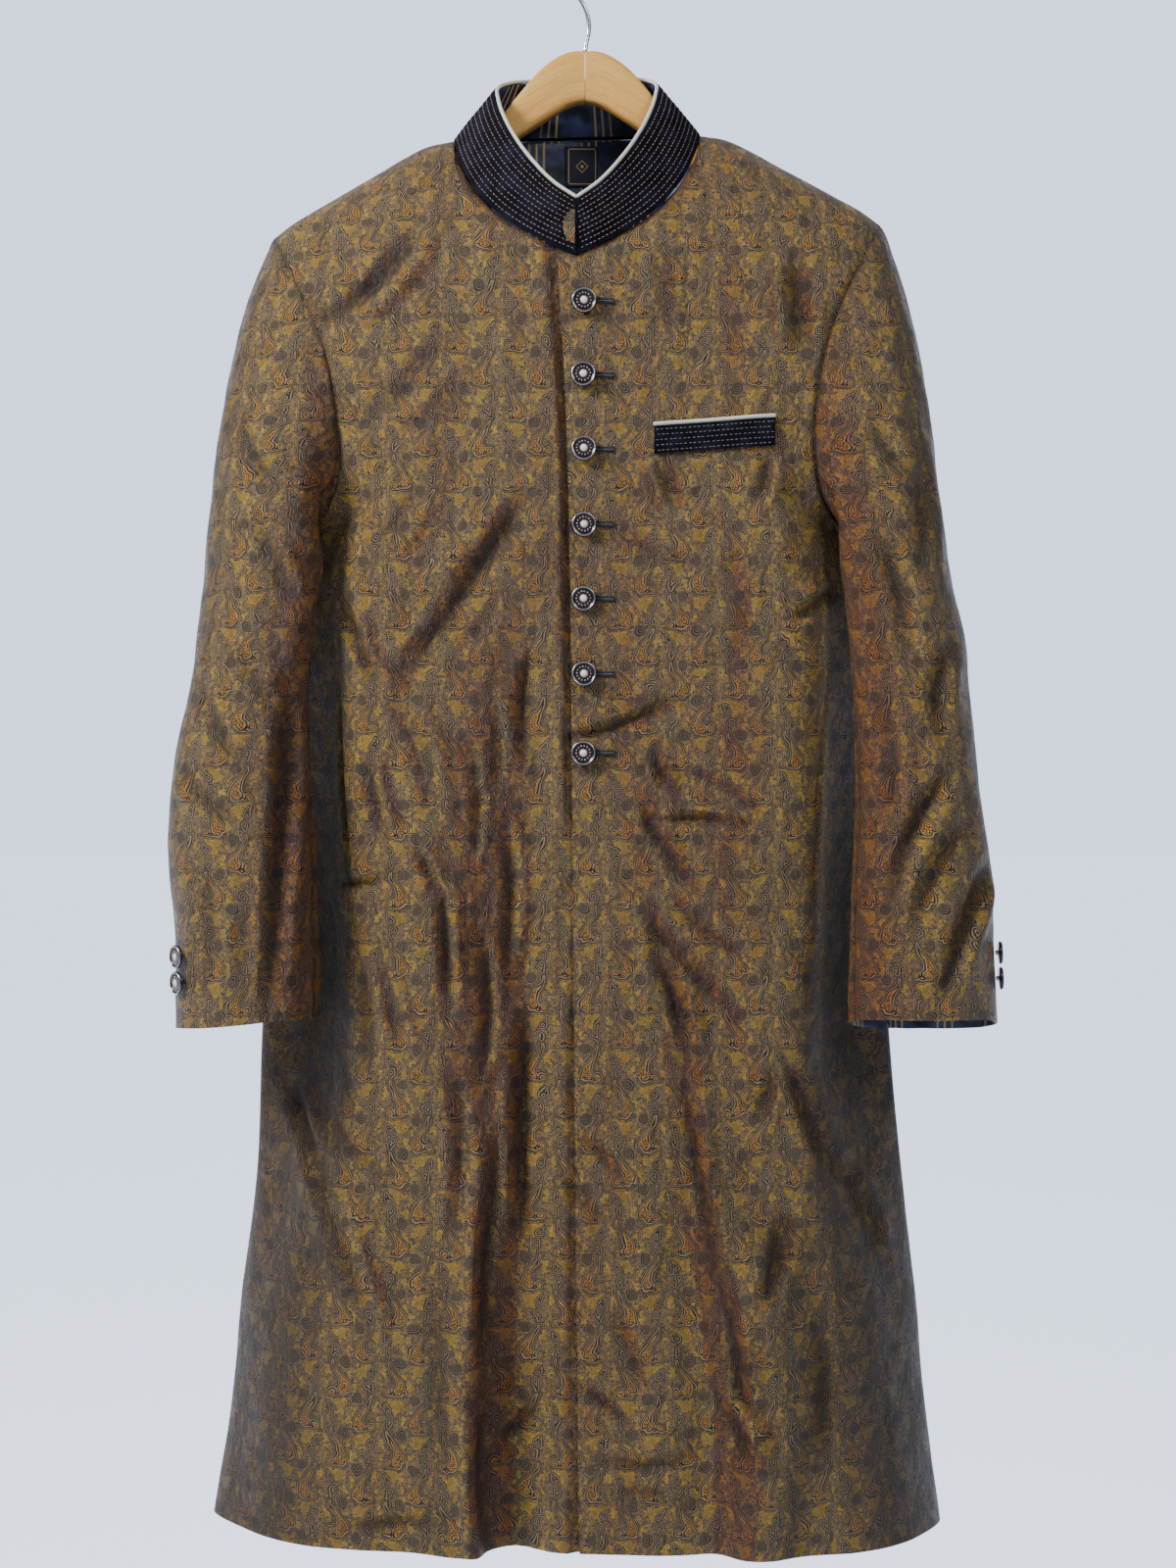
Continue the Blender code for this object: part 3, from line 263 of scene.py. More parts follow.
def section(z, side):
    heights = BODY["z"][::-1]
    at = {name: float(smooth(heights, BODY[name][::-1], z)) for name in BODY if name != "z"}
    more = at["right_in"] if side > 0 else 0.0
    width = at["right_x"] if side > 0 else at["left_x"]
    x = [0, at["mid_x"], at["turn_x"] + more, at["tuck_x"] + more, width, at["heel_x"], BLADE_X, 0]
    y = [at["front_y"], at["mid_y"], at["turn_y"], at["tuck_y"], at["side_y"], at["heel_y"]]
    y += [at["blade_y"], at["back_y"]]
    shares = np.concatenate([[-0.36], SECTION_SHARES, [2.5]])
    return shares, np.array([[-x[1]] + x + [-x[6]], [y[1]] + y + [y[6]]])


def ring(z, shares, side):
    """Points of the half section, share 0 centre front to 2 centre back; x is outward."""
    knots, stations = section(z, side)
    x, y = smooth(knots, stations, shares)
    return np.stack([x, y, np.full_like(x, z)], axis=-1)


def curve_of(rows):
    return np.stack([rows["x"], rows["y"], rows["z"]], axis=-1)


def shoulder_edge(at):
    depth = np.full(len(SHOULDER["x"]), SHOULDER_Y)
    return along(np.stack([SHOULDER["x"], depth, SHOULDER["z"]], axis=-1), at)


def top_edge(share, back):
    """The upper edge of a half yoke: the neck seam, then the shoulder seam."""
    share = np.asarray(share, float)
    neck = curve_of(NECK_BACK)[::-1] if back else curve_of(NECK_FRONT)
    on_neck = along(neck, np.clip(share / NECK_SHARE, 0, 1))
    on_shoulder = shoulder_edge(np.clip((share - NECK_SHARE) / (1 - NECK_SHARE), 0, 1))
    return np.where((share <= NECK_SHARE)[:, None], on_neck, on_shoulder)


def side_edge(t, back, side):
    """The outer edge of a half yoke: a little of the side seam, then the armhole."""
    armhole = curve_of(ARMHOLE_BACK if back else ARMHOLE_FRONT)
    if t >= SIDE_SHARE:
        return along(armhole, [(t - SIDE_SHARE) / (1 - SIDE_SHARE)])[0]
    z = PATCH_Z + (armhole[0][2] - PATCH_Z) * t / SIDE_SHARE
    return ring(z, np.array([1.0]), side)[0]


def yoke_row(t, shares, back, side):
    """One row of the half front or back above PATCH_Z: t 0 at its foot, 1 at its top edge."""
    width = 1 - shares if back else shares
    foot = ring(PATCH_Z, 2 - width if back else width, side)
    top = top_edge(width, back)
    ends = ring(PATCH_Z, np.array([2.0 if back else 0.0, 1.0]), side)
    corner = top_edge(np.array([0.0, 1.0]), back)
    centre = ends[0] + (corner[0] - ends[0]) * t
    outer = side_edge(t, back, side)
    across = width[:, None]
    flat = (1 - t) * foot + t * top
    left = centre - ((1 - t) * ends[0] + t * corner[0])
    right = outer - ((1 - t) * ends[1] + t * corner[1])
    points = flat + (1 - across) * left + across * right
    foot_turn = (foot[:, 1] - ends[0][1]) / (ends[1][1] - ends[0][1])
    top_turn = (top[:, 1] - corner[0][1]) / (corner[1][1] - corner[0][1])
    turn = (1 - t**2) * foot_turn + t**2 * top_turn
    points[:, 1] = centre[1] + (outer[1] - centre[1]) * turn
    return points


def body_row(height, shares, back, side):
    """height 0 at the hem, 1 at PATCH_Z, 2 at the neck and shoulder edges; shares run outward."""
    if height <= 1:
        z = HEM_Z + (PATCH_Z - HEM_Z) * height
        points = ring(z, 2 - shares if back else shares, side)
        points[:, 2] += HEM_TILT * points[:, 0] * side * (1 - height) ** 2
    else:
        points = yoke_row(height - 1, 1 - shares if back else shares, back, side)
    x = points[:, 0] * side
    if back:
        points[:, 1] += drape(BACK_FOLDS, x, points[:, 2])
    else:
        points[:, 1] -= drape(FOLDS, x, points[:, 2])
    points[:, 2] += HANG_TILT * x * smoothstep(-0.50, -0.30, points[:, 2])
    points[:, 0] = x
    return points


def front_row(height, signed):
    left = body_row(height, np.abs(signed), False, -1.0)
    right = body_row(height, np.abs(signed), False, 1.0)
    return np.where((signed < 0)[:, None], left, right)


def overlap_share(height):
    return (OVERLAP_HEM_X + (OVERLAP_TOP_X - OVERLAP_HEM_X) * height / 2) / HALF_WIDTH


def world(grid):
    return grid + np.array([CENTRE_X, 0.0, 0.0])


# ---------------------------------------------------------------- sleeves
RING_Z = -0.514
SLEEVE = "z inner_x inner_y front_x front_y outer_x outer_y back_x back_y hollow"
SLEEVE_LEFT = table(
    SLEEVE,
    (-514, 197.5, -46, 236, -72, 296, -18, 266, 34, 2.7),
    (-560, 204.5, -50, 244, -78, 299.8, -26, 272, 24, 2.4),
    (-600, 207.5, -52, 250, -82, 303.6, -34, 274, 13, 1.9),
    (-655, 206.5, -52, 254, -86, 313.5, -42, 272, 4, 1.4),
    (-712, 202.5, -52, 258, -88, 318.5, -46, 270, 0, 1.1),
    (-780, 200, -52, 258, -89, 312.5, -48, 268, -6, 1.1),
    (-853, 198.5, -52, 256, -89, 311.2, -48, 266, -10, 1.2),
)
SLEEVE_RIGHT = table(
    SLEEVE,
    (-514, 206, -46, 240, -72, 297.5, -18, 268, 34, 2.7),
    (-560, 211, -50, 248, -78, 306, -26, 275, 24, 2.4),
    (-600, 213.5, -52, 254, -82, 308.5, -34, 278, 13, 1.9),
    (-680, 217.5, -52, 262, -87, 314, -44, 278, 2, 1.4),
    (-745, 214.5, -52, 266, -89, 323, -48, 276, -1, 1.1),
    (-800, 212, -52, 266, -89, 325.2, -48, 276, -6, 1.1),
    (-853, 211.5, -52, 266, -89, 326.8, -48, 276, -9, 1.2),
)
CUFF = table(
    "side outer_drop back_drop",
    (-1, 8, 6), (1, 0, 17),
)


def sleeve_ring(rows, z, at):
    """Ring points at shares 0 to 1: 0 faces the side seam, 0.5 is the outer edge."""
    heights = rows["z"][::-1]
    p = {name: float(smooth(heights, rows[name][::-1], z)) for name in rows if name != "z"}
    angle = np.linspace(0, math.pi / 2, 32)
    c, s = np.cos(angle), np.sin(angle)

    def arc(start, end, power=1.0):
        x0, x1, y0, y1 = (p[key] for key in (f"{start}_x", f"{end}_x", f"{start}_y", f"{end}_y"))
        return np.stack([x1 + (x0 - x1) * c**power, y0 + (y1 - y0) * s**power], axis=1)

    to_inner = arc("inner", "back", p["hollow"])[::-1]
    half = len(to_inner) // 2
    front_branch = [to_inner[half:], arc("inner", "front")[1:], arc("outer", "front")[::-1][1:]]
    back_branch = [arc("outer", "back"), to_inner[1 : half + 1]]

    def walk(branch, share):
        path = np.concatenate(branch)
        run = run_of(path)
        return np.stack([np.interp(share * run[-1], run, path[:, k]) for k in (0, 1)], axis=1)

    at = np.asarray(at, float)
    on_front = walk(front_branch, np.clip(at * 2, 0, 1))
    on_back = walk(back_branch, np.clip(at * 2 - 1, 0, 1))
    xy = np.where((at <= 0.5)[:, None], on_front, on_back)
    return np.concatenate([xy, np.full((len(xy), 1), z)], axis=1)


def armhole_ring(at):
    at = np.asarray(at, float)
    front = along(curve_of(ARMHOLE_FRONT), np.clip(at * 2, 0, 1))
    rear = along(curve_of(ARMHOLE_BACK)[::-1], np.clip(at * 2 - 1, 0, 1))
    return np.where((at <= 0.5)[:, None], front, rear)


def sleeve_row(side, length, at):
    """length 0 at the armhole, 1 at the end of the sleeve head, 2 at the cuff."""
    rows = SLEEVE_RIGHT if side > 0 else SLEEVE_LEFT
    wave = np.sin(math.pi * at)
    if length <= 1:
        t = length
        start = armhole_ring(at)
        tilt = HANG_TILT * start[:, 0] * side
        start[:, 2] += tilt * smoothstep(-0.50, -0.30, start[:, 2])
        end = sleeve_ring(rows, RING_Z, at)
        drop = -(0.035 + 0.245 * wave**2)
        swing = np.sin(2 * math.pi * at)
        reach = np.where(swing > 0, -0.060, -0.020) * swing
        leave = np.stack([0.030 + 0.100 * wave, reach, drop], axis=1)
        arrive = np.stack([(0.050 if side > 0 else 0.024) * wave, reach * 0.15, drop], axis=1)
        h00, h10 = 2 * t**3 - 3 * t**2 + 1, t**3 - 2 * t**2 + t
        h01, h11 = 3 * t**2 - 2 * t**3, t**3 - t**2
        points = h00 * start + h10 * leave + h01 * end + h11 * arrive
    else:
        end_z = rows["z"][-1]
        points = sleeve_ring(rows, RING_Z + (end_z - RING_Z) * (length - 1), at)
        pick = 1 if side > 0 else 0
        out = smoothstep(0.20, 0.32, points[:, 0])
        rear = smoothstep(-0.09, 0.0, points[:, 1])
        drop = CUFF["outer_drop"][pick] * out + CUFF["back_drop"][pick] * rear
        points[:, 2] -= drop * (length - 1) ** 3
    points[:, 0] *= side
    return points


# ---------------------------------------------------------------- creases
# Broad slopes that stay under a few millimetres, in the same terms as FOLDS.
SOFT_FRONT = (
    table(
        FOLD,
        (-1060, -100, 30, 45, 0), (-900, -116, 30, 48, 3.5), (-760, -116, 30, 48, 4),
        (-640, -105, 30, 45, 2.5), (-560, -85, 30, 40, 0),
    ),
    table(
        FOLD,
        (-1180, -46, 30, 18, -5), (-1050, -46, 30, 20, -5.5), (-900, -36, 36, 18, -5),
        (-740, -32, 38, 16, -4.2), (-620, -30, 34, 14, -3), (-520, -34, 26, 14, 0),
    ),
    table(
        FOLD,
        (-1300, -48, 16, 22, -5), (-1150, -52, 16, 20, -4.5), (-1060, -56, 14, 18, 0),
    ),
    table(
        FOLD,
        (-1300, 108, 20, 14, -4), (-1160, 106, 22, 14, -5.5), (-1060, 92, 22, 14, -5.5),
        (-960, 80, 20, 14, -5), (-850, 72, 18, 14, -4), (-760, 62, 14, 12, 0),
    ),
    table(
        FOLD,
        (-880, 162, 22, 20, 0), (-780, 162, 22, 20, -3), (-690, 160, 22, 20, 0),
    ),
    table(
        FOLD,
        (-420, 108, 24, 20, 0), (-330, 110, 24, 20, -2.2), (-230, 104, 24, 20, 0),
    ),
)
SOFT_BACK = (
    table(
        FOLD,
        (-1300, 16, 22, 30, -4), (-1000, 20, 22, 28, -4.5), (-780, 26, 20, 24, 0),
    ),
    table(
        FOLD,
        (-980, -70, 26, 20, 0), (-800, -74, 26, 20, 3), (-600, -60, 26, 20, 0),
    ),
)
# Each crease runs through three places. wide is its half width, deep how far it sinks (a ridge
# is negative), and lean says which lip stands higher: 1 the one on its right, -1 on its left.
CREASE = "x1 z1 x2 z2 x3 z3 wide deep lean"
FRONT_CREASES = table(
    CREASE,
    (-124, -238, -156, -284, -205, -316, 8, 2.6, 0.6),
    (-100, -330, -140, -372, -182, -398, 9, 1.2, 0.3),
    (-36, -452, -78, -510, -130, -590, 8.5, 2.4, -0.7), (-60, -450, -104, -520, -140, -562, 6, 1, 0.4),
    (63, -421, 70, -440, 80, -462, 5, 1.8, -0.4), (151, -418, 147, -438, 137, -458, 5, 1.2, 0.3),
    (-180, -532, -170, -566, -156, -596, 5, 2.6, 0.6),
    (-164, -655, -157, -684, -148, -716, 5, 2.4, 0.6), (-190, -748, -168, -752, -144, -746, 4, 1.8, 0),
    (-126, -722, -116, -738, -107, -754, 3.8, 2, 0.5),
    (-103, -748, -100, -800, -97, -852, 4.8, 2.4, 0.6),
    (-152, -800, -144, -840, -132, -882, 4.8, 1.6, 0.5),
    (-170, -800, -162, -850, -160, -900, 5.2, 1.4, -0.3),
    (-232, -915, -205, -975, -160, -1090, 6.5, 3.2, 0.8),
    (-206, -948, -186, -990, -168, -1050, 5.2, 2, -0.5),
    (-196, -930, -170, -962, -140, -986, 6, 1.2, 0.4), (-31, -560, -40, -610, -36, -668, 5, 2.2, 0.6),
    (-28, -585, -31, -630, -27, -690, 3.4, 1.6, 0), (-66, -600, -60, -640, -64, -680, 4.2, 1, 0.4),
    (-84, -640, -76, -690, -82, -740, 4, 1.2, 0.4), (-56, -700, -50, -760, -56, -820, 4.5, 1.5, 0.5),
    (-76, -780, -68, -840, -74, -910, 5, 1.6, 0.5), (-94, -900, -88, -960, -96, -1030, 5.5, 1.4, -0.4),
    (-36, -840, -42, -930, -38, -1030, 6, 3, -0.6), (-58, -940, -68, -1040, -66, -1140, 6, 2.8, -0.5),
    (-66, -1140, -70, -1210, -60, -1280, 7, 3, -0.6),
    (-104, -1040, -108, -1120, -100, -1200, 9, 1.2, 0.2), (-8, -640, 30, -629, 77, -607, 4.2, 1.8, 0.7),
    (58, -642, 64, -664, 74, -684, 4.2, 2.4, 0.5), (50, -690, 62, -716, 86, -754, 5.5, 3, 0.7),
    (56, -705, 92, -702, 132, -707, 4, 1.6, 0.6), (80, -668, 110, -676, 138, -696, 4.4, 1, 0.4),
    (52, -770, 74, -806, 116, -850, 5.5, 2.8, 0.8), (70, -760, 96, -788, 120, -806, 4.5, 1.4, 0.5),
    (56, -800, 78, -848, 86, -910, 5.8, 3, 0.6), (82, -900, 92, -980, 108, -1060, 6, 3, 0.7),
    (108, -1050, 122, -1120, 126, -1200, 6, 2.8, 0.7), (110, -1134, 130, -1168, 148, -1196, 5, -3.4, 0),
    (160, -880, 182, -938, 204, -985, 5.6, 2.4, 0.6), (196, -962, 222, -998, 240, -1050, 6, 2, 0.5),
    (156, -880, 148, -912, 136, -938, 5, 1.2, -0.3), (160, -1000, 154, -1040, 142, -1080, 7, 2, 0.4),
    (186, -1080, 192, -1140, 186, -1200, 9, 1.4, -0.4),
    (168, -545, 184, -536, 200, -520, 4.5, 2.2, 0.6), (150, -560, 168, -580, 190, -590, 6, 1, 0.3),
    (176, -262, 172, -296, 180, -346, 8, 2, -0.5), (60, -258, 66, -290, 62, -330, 8, 1, 0.4),
    (-16, -974, 0, -992, 14, -1018, 5, 1.2, 0.5), (2, -950, 16, -962, 30, -980, 4.8, 1.2, 0.4),
    (-62, -1194, -44, -1172, -26, -1152, 5, 2, 0.5), (2, -1140, 18, -1152, 36, -1168, 4.5, 1.6, 0.5),
    (6, -1196, 50, -1200, 94, -1194, 5, 1.1, 0.6), (16, -1226, 50, -1222, 86, -1230, 5, 0.9, 0.4),
    (-186, -1252, -140, -1246, -90, -1240, 6, 1.2, 0.5), (20, -1080, 36, -1110, 46, -1150, 7, 1, 0.3),
    (-16, -700, -14, -780, -18, -860, 6, 1, 0.5), (26, -480, 60, -500, 98, -500, 8, 0.9, 0.3),
    (110, -490, 120, -540, 112, -590, 9, 1, 0.3), (-120, -440, -136, -470, -156, -490, 7, 1, 0.4),
    (-140, -610, -120, -650, -112, -700, 7, 1.2, 0.4),
)
BACK_CREASES = table(
    CREASE,
    (-180, -540, -164, -580, -156, -630, 6, 2.4, 0.6), (184, -552, 168, -590, 160, -650, 6, 2.4, -0.6),
    (-140, -330, -90, -356, -30, -352, 9, 1.4, 0.4), (30, -360, 90, -366, 150, -340, 9, 1.4, -0.4),
    (-190, -330, -176, -380, -180, -430, 7, 2, 0.5), (188, -330, 174, -390, 178, -440, 7, 2, -0.5),
    (-120, -720, -70, -742, -20, -736, 5, 1.4, 0.5), (10, -756, 60, -770, 120, -750, 5, 1.6, 0.5),
    (-60, -800, -52, -870, -66, -950, 6, 2, -0.5), (40, -800, 52, -880, 46, -980, 6, 2.2, 0.5),
    (-150, -880, -130, -960, -142, -1060, 7, 2, 0.5), (140, -860, 150, -950, 134, -1060, 7, 2.2, -0.5),
    (-200, -940, -180, -1020, -190, -1110, 7, 1.8, 0.4),
    (196, -980, 206, -1060, 194, -1140, 7, 1.8, 0.4), (-90, -1080, -86, -1160, -96, -1250, 7, 2.6, 0.6),
    (100, -1060, 108, -1160, 100, -1260, 7, 2.6, 0.6), (-20, -430, 20, -470, 40, -530, 8, 1.2, 0.4),
    (-100, -480, -80, -530, -90, -600, 8, 1.4, 0.4), (96, -500, 86, -560, 96, -620, 8, 1.4, -0.4),
    (-40, -1210, 0, -1220, 40, -1212, 5, 1, 0.5),
)
SLEEVE_CREASES = table(
    CREASE,
    (-219, -600, -224, -700, -234, -852, 6.5, 3, 0.5),
    (-246, -470, -234, -500, -216, -532, 6, 2.2, 0.5),
    (-286, -600, -270, -640, -252, -656, 6, 1.8, 0.4),
    (-300, -660, -280, -690, -256, -700, 6, 1.6, -0.4),
    (-262, -560, -246, -596, -226, -610, 6, 1.6, 0.4),
    (-290, -730, -278, -780, -284, -840, 7, 1.4, -0.4),
    (-256, -740, -252, -790, -258, -850, 6, 1.2, 0.4),
    (-262, -380, -250, -420, -226, -448, 8, 1.6, 0.5), (284, -664, 252, -716, 236, -772, 6.5, 3.2, 0.6),
    (318, -736, 296, -780, 276, -842, 6.5, 3.2, 0.6), (302, -700, 270, -740, 254, -800, 6, 1.4, -0.4),
    (232, -480, 246, -520, 252, -580, 7, 2, -0.4), (262, -400, 268, -460, 262, -520, 8, 1.4, 0.4),
    (290, -560, 276, -600, 280, -650, 7, 1.8, 0.4), (230, -610, 240, -660, 232, -700, 6, 1.6, 0.4),
    (226, -400, 244, -420, 258, -452, 7, 1.4, 0.4),
)
# Long darts of the fronts, as sewn: very narrow troughs.
DART_CREASES = table(
    CREASE,
    (-187, -575, -183, -665, -174, -770, 1.6, 1.6, 0), (198, -575, 188, -690, 186, -770, 1.6, 1.6, 0),
)
CREASE_STEPS = 12
LIP = 0.50


def creases(rows, x, z):
    """How far a set of creases sinks the cloth at places x, z."""
    sink = np.zeros_like(x)
    for k in range(len(rows["x1"])):
        wide, deep, lean = (rows[name][k] for name in ("wide", "deep", "lean"))
        start, middle, end = (np.array([rows[f"x{n}"][k], rows[f"z{n}"][k]]) for n in (1, 2, 3))
        s = np.linspace(0, 1, CREASE_STEPS)[:, None]
        bend = 2 * middle - (start + end) / 2
        path = (1 - s) ** 2 * start + 2 * s * (1 - s) * bend + s**2 * end
        reach = 4 * wide
        low, high = path.min(axis=0) - reach, path.max(axis=0) + reach
        near = (x > low[0]) & (x < high[0]) & (z > low[1]) & (z < high[1])
        if not near.any():
            continue
        px, pz = x[near], z[near]
        best = np.full(px.shape, np.inf)
        side = np.zeros_like(px)
        run = np.zeros_like(px)
        for step in range(CREASE_STEPS - 1):
            a, b = path[step], path[step + 1]
            d = b - a
            t = np.clip(((px - a[0]) * d[0] + (pz - a[1]) * d[1]) / (d @ d), 0, 1)
            off_x, off_z = px - a[0] - t * d[0], pz - a[1] - t * d[1]
            distance = np.hypot(off_x, off_z)
            closer = distance < best
            best = np.where(closer, distance, best)
            side = np.where(closer, np.sign(off_x * -d[1] + off_z * d[0]), side)
            run = np.where(closer, (step + t) / (CREASE_STEPS - 1), run)
        strength = np.sin(np.pi * np.clip(run, 0.02, 0.98)) ** 0.7
        trough = np.exp(-((best / wide) ** 2))
        lip = np.exp(-(((best - 1.9 * wide) / (0.95 * wide)) ** 2)) * (1 + lean * side)
        sink[near] += deep * strength * (trough - LIP * lip)
    return sink


def ripple(x, z, seed, size, tall=1.0):
    """Gentle unevenness of hung cloth, about -1 to 1."""
    points = np.stack([x / size, z / (size * tall), np.full_like(x, seed)], axis=-1).reshape(-1, 3)
    values = [noise.noise(Vector(p)) for p in points]
    return np.array(values).reshape(x.shape)


# ---------------------------------------------------------------- making meshes
def normals_of(grid, outward):
    n = unit(np.cross(np.gradient(grid, axis=0), np.gradient(grid, axis=1)))
    return n * np.sign((n * outward).sum(axis=2).sum())


def new_mesh(name, points, faces, paints, kinds=None, uv=None, shades=None, sharp=None):
    """A mesh object. kinds holds each face's material number; sharp is an angle in degrees."""
    mesh = bpy.data.meshes.new(name)
    faces = faces.tolist() if isinstance(faces, np.ndarray) else faces
    mesh.from_pydata(np.asarray(points, float).tolist(), [], faces)
    for paint in paints:
        mesh.materials.append(paint)
    if kinds is not None:
        mesh.polygons.foreach_set("material_index", np.asarray(kinds, np.int32))
    if uv is not None:
        layer = mesh.uv_layers.new(name="cloth")
        corners = np.empty(len(mesh.loops), np.int32)
        mesh.loops.foreach_get("vertex_index", corners)
        layer.data.foreach_set("uv", np.asarray(uv, np.float32)[corners].ravel())
    for shade, values in (shades or {}).items():
        layer = mesh.attributes.new(shade, "FLOAT", "POINT")
        layer.data.foreach_set("value", np.asarray(values, np.float32).ravel())
    mesh.shade_smooth()
    if sharp is not None:
        mesh.set_sharp_from_angle(angle=math.radians(sharp))
    mesh.update()
    obj = bpy.data.objects.new(name, mesh)
    bpy.context.scene.collection.objects.link(obj)
    return obj


def settle_in(obj, node=None):
    """The piece rides on the coat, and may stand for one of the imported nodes."""
    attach(obj, "root")
    if node is not None:
        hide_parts(node)
    return obj


def wall_faces(rows, cols):
    """Quads of a closed wall between two like grids: outer, inner, then the rim all round."""
    i, j = np.meshgrid(np.arange(rows - 1), np.arange(cols - 1), indexing="ij")
    a = (i * cols + j).ravel()
    skip = rows * cols
    outer = np.stack([a, a + 1, a + cols + 1, a + cols], axis=1)
    inner = np.stack([a, a + cols, a + cols + 1, a + 1], axis=1) + skip
    r = np.arange(rows - 1) * cols
    left = np.stack([r, r + cols, r + cols + skip, r + skip], axis=1)
    e = r + cols - 1
    right = np.stack([e + cols, e, e + skip, e + cols + skip], axis=1)
    c = np.arange(cols - 1)
    first = np.stack([c + 1, c, c + skip, c + 1 + skip], axis=1)
    f = c + (rows - 1) * cols
    last = np.stack([f, f + 1, f + 1 + skip, f + skip], axis=1)
    return outer, inner, np.concatenate([left, right, first, last])


def wall_piece(name, node, outer, inner, uv, paints, slot, shades=None):
    """A closed shell with the first material outside and on its rim, and the last one inside."""
    rows, cols = outer.shape[:2]
    out_faces, in_faces, rim = wall_faces(rows, cols)
    faces = np.concatenate([out_faces, in_faces, rim])
    across = np.cross(outer[1:, :-1] - outer[:-1, :-1], outer[:-1, 1:] - outer[:-1, :-1])
    if (across * (outer - inner)[:-1, :-1]).sum() > 0:
        faces = faces[:, ::-1]
    points = np.concatenate([outer.reshape(-1, 3), inner.reshape(-1, 3)])
    both = np.concatenate([uv.reshape(-1, 2), uv.reshape(-1, 2)])
    kinds = np.zeros(len(faces), np.int32)
    kinds[len(out_faces) : len(out_faces) + len(in_faces)] = len(paints) - 1
    twice = {k: np.concatenate([v.ravel(), v.ravel()]) for k, v in (shades or {}).items()}
    return settle_in(new_mesh(name, points, faces, paints, kinds, both, twice, 50), node)


def tube_piece(name, node, path, radius, paint, sides=12):
    """A closed round cord along a path, its ends drawn in."""
    path = np.asarray(path, float)
    step = unit(np.gradient(path, axis=0))
    over = unit(np.cross(step, np.array([0.0, 1.0, 0.0])))
    up = np.cross(over, step)
    angle = np.arange(sides) * 2 * math.pi / sides
    circle = np.cos(angle)[None, :, None] * over[:, None] + np.sin(angle)[None, :, None] * up[:, None]
    past, drawn_in = radius * 0.4, 0.6
    first = path[0] - step[0] * past + drawn_in * radius * circle[0]
    last = path[-1] + step[-1] * past + drawn_in * radius * circle[-1]
    rings = np.concatenate([first[None], path[:, None] + radius * circle, last[None]])
    run = run_of(path)
    run = np.concatenate([[-past], run, [run[-1] + past]])
    count = len(rings)
    i, j = np.meshgrid(np.arange(count - 1), np.arange(sides), indexing="ij")
    n = (j + 1) % sides
    quads = [i * sides + j, i * sides + n, (i + 1) * sides + n, (i + 1) * sides + j]
    faces = np.stack(quads, axis=-1).reshape(-1, 4)[:, ::-1].tolist()
    faces += [list(range(sides)), list(range((count - 1) * sides, count * sides))[::-1]]
    uv = np.stack(np.broadcast_arrays(angle[None] * radius, run[:, None]), axis=-1).reshape(-1, 2)
    obj = new_mesh(name, rings.reshape(-1, 3), faces, [paint], uv=uv, sharp=60)
    return settle_in(obj, node)


# ---------------------------------------------------------------- colours worked out by nodes
def srgb(r, g, b):
    """A colour given as it looks on a screen, 0 to 255, in the shader's own numbers."""
    parts = [c / 255 for c in (r, g, b)]
    return (*(c / 12.92 if c <= 0.04045 else ((c + 0.055) / 1.055) ** 2.4 for c in parts), 1.0)


def operation(name):
    return lambda number, *others: number.math(name, *others)


class Number:
    """A number that varies over the surface, made of Math nodes."""

    def __init__(self, tree, socket):
        self.tree = tree
        self.socket = socket

    def math(self, name, *others, clamp=False):
        node = self.tree.nodes.new("ShaderNodeMath")
        node.operation = name
        node.use_clamp = clamp
        for slot, value in zip(node.inputs, (self, *others)):
            if isinstance(value, Number):
                self.tree.links.new(value.socket, slot)
            else:
                slot.default_value = value
        return Number(self.tree, node.outputs[0])

    __add__ = operation("ADD")
    __sub__ = operation("SUBTRACT")
    __mul__ = operation("MULTIPLY")
    __truediv__ = operation("DIVIDE")
    times_add = operation("MULTIPLY_ADD")
    fract = operation("FRACT")
    sin = operation("SINE")
    cos = operation("COSINE")
    power = operation("POWER")
    angle = operation("ARCTAN2")
    abs = operation("ABSOLUTE")
    most = operation("MAXIMUM")
    join = operation("SMOOTH_MIN")

    def step(self, start, end):
        """0 at start, 1 at end, straight between and flat beyond; start may be the larger."""
        scale = 1 / (end - start)
        return self.math("MULTIPLY_ADD", scale, -start * scale, clamp=True)

    def line(self, at, half):
        """1 along a thin line where the number is at, falling to 0 at half beside it."""
        return (self - at).abs().step(half, half * 0.35)


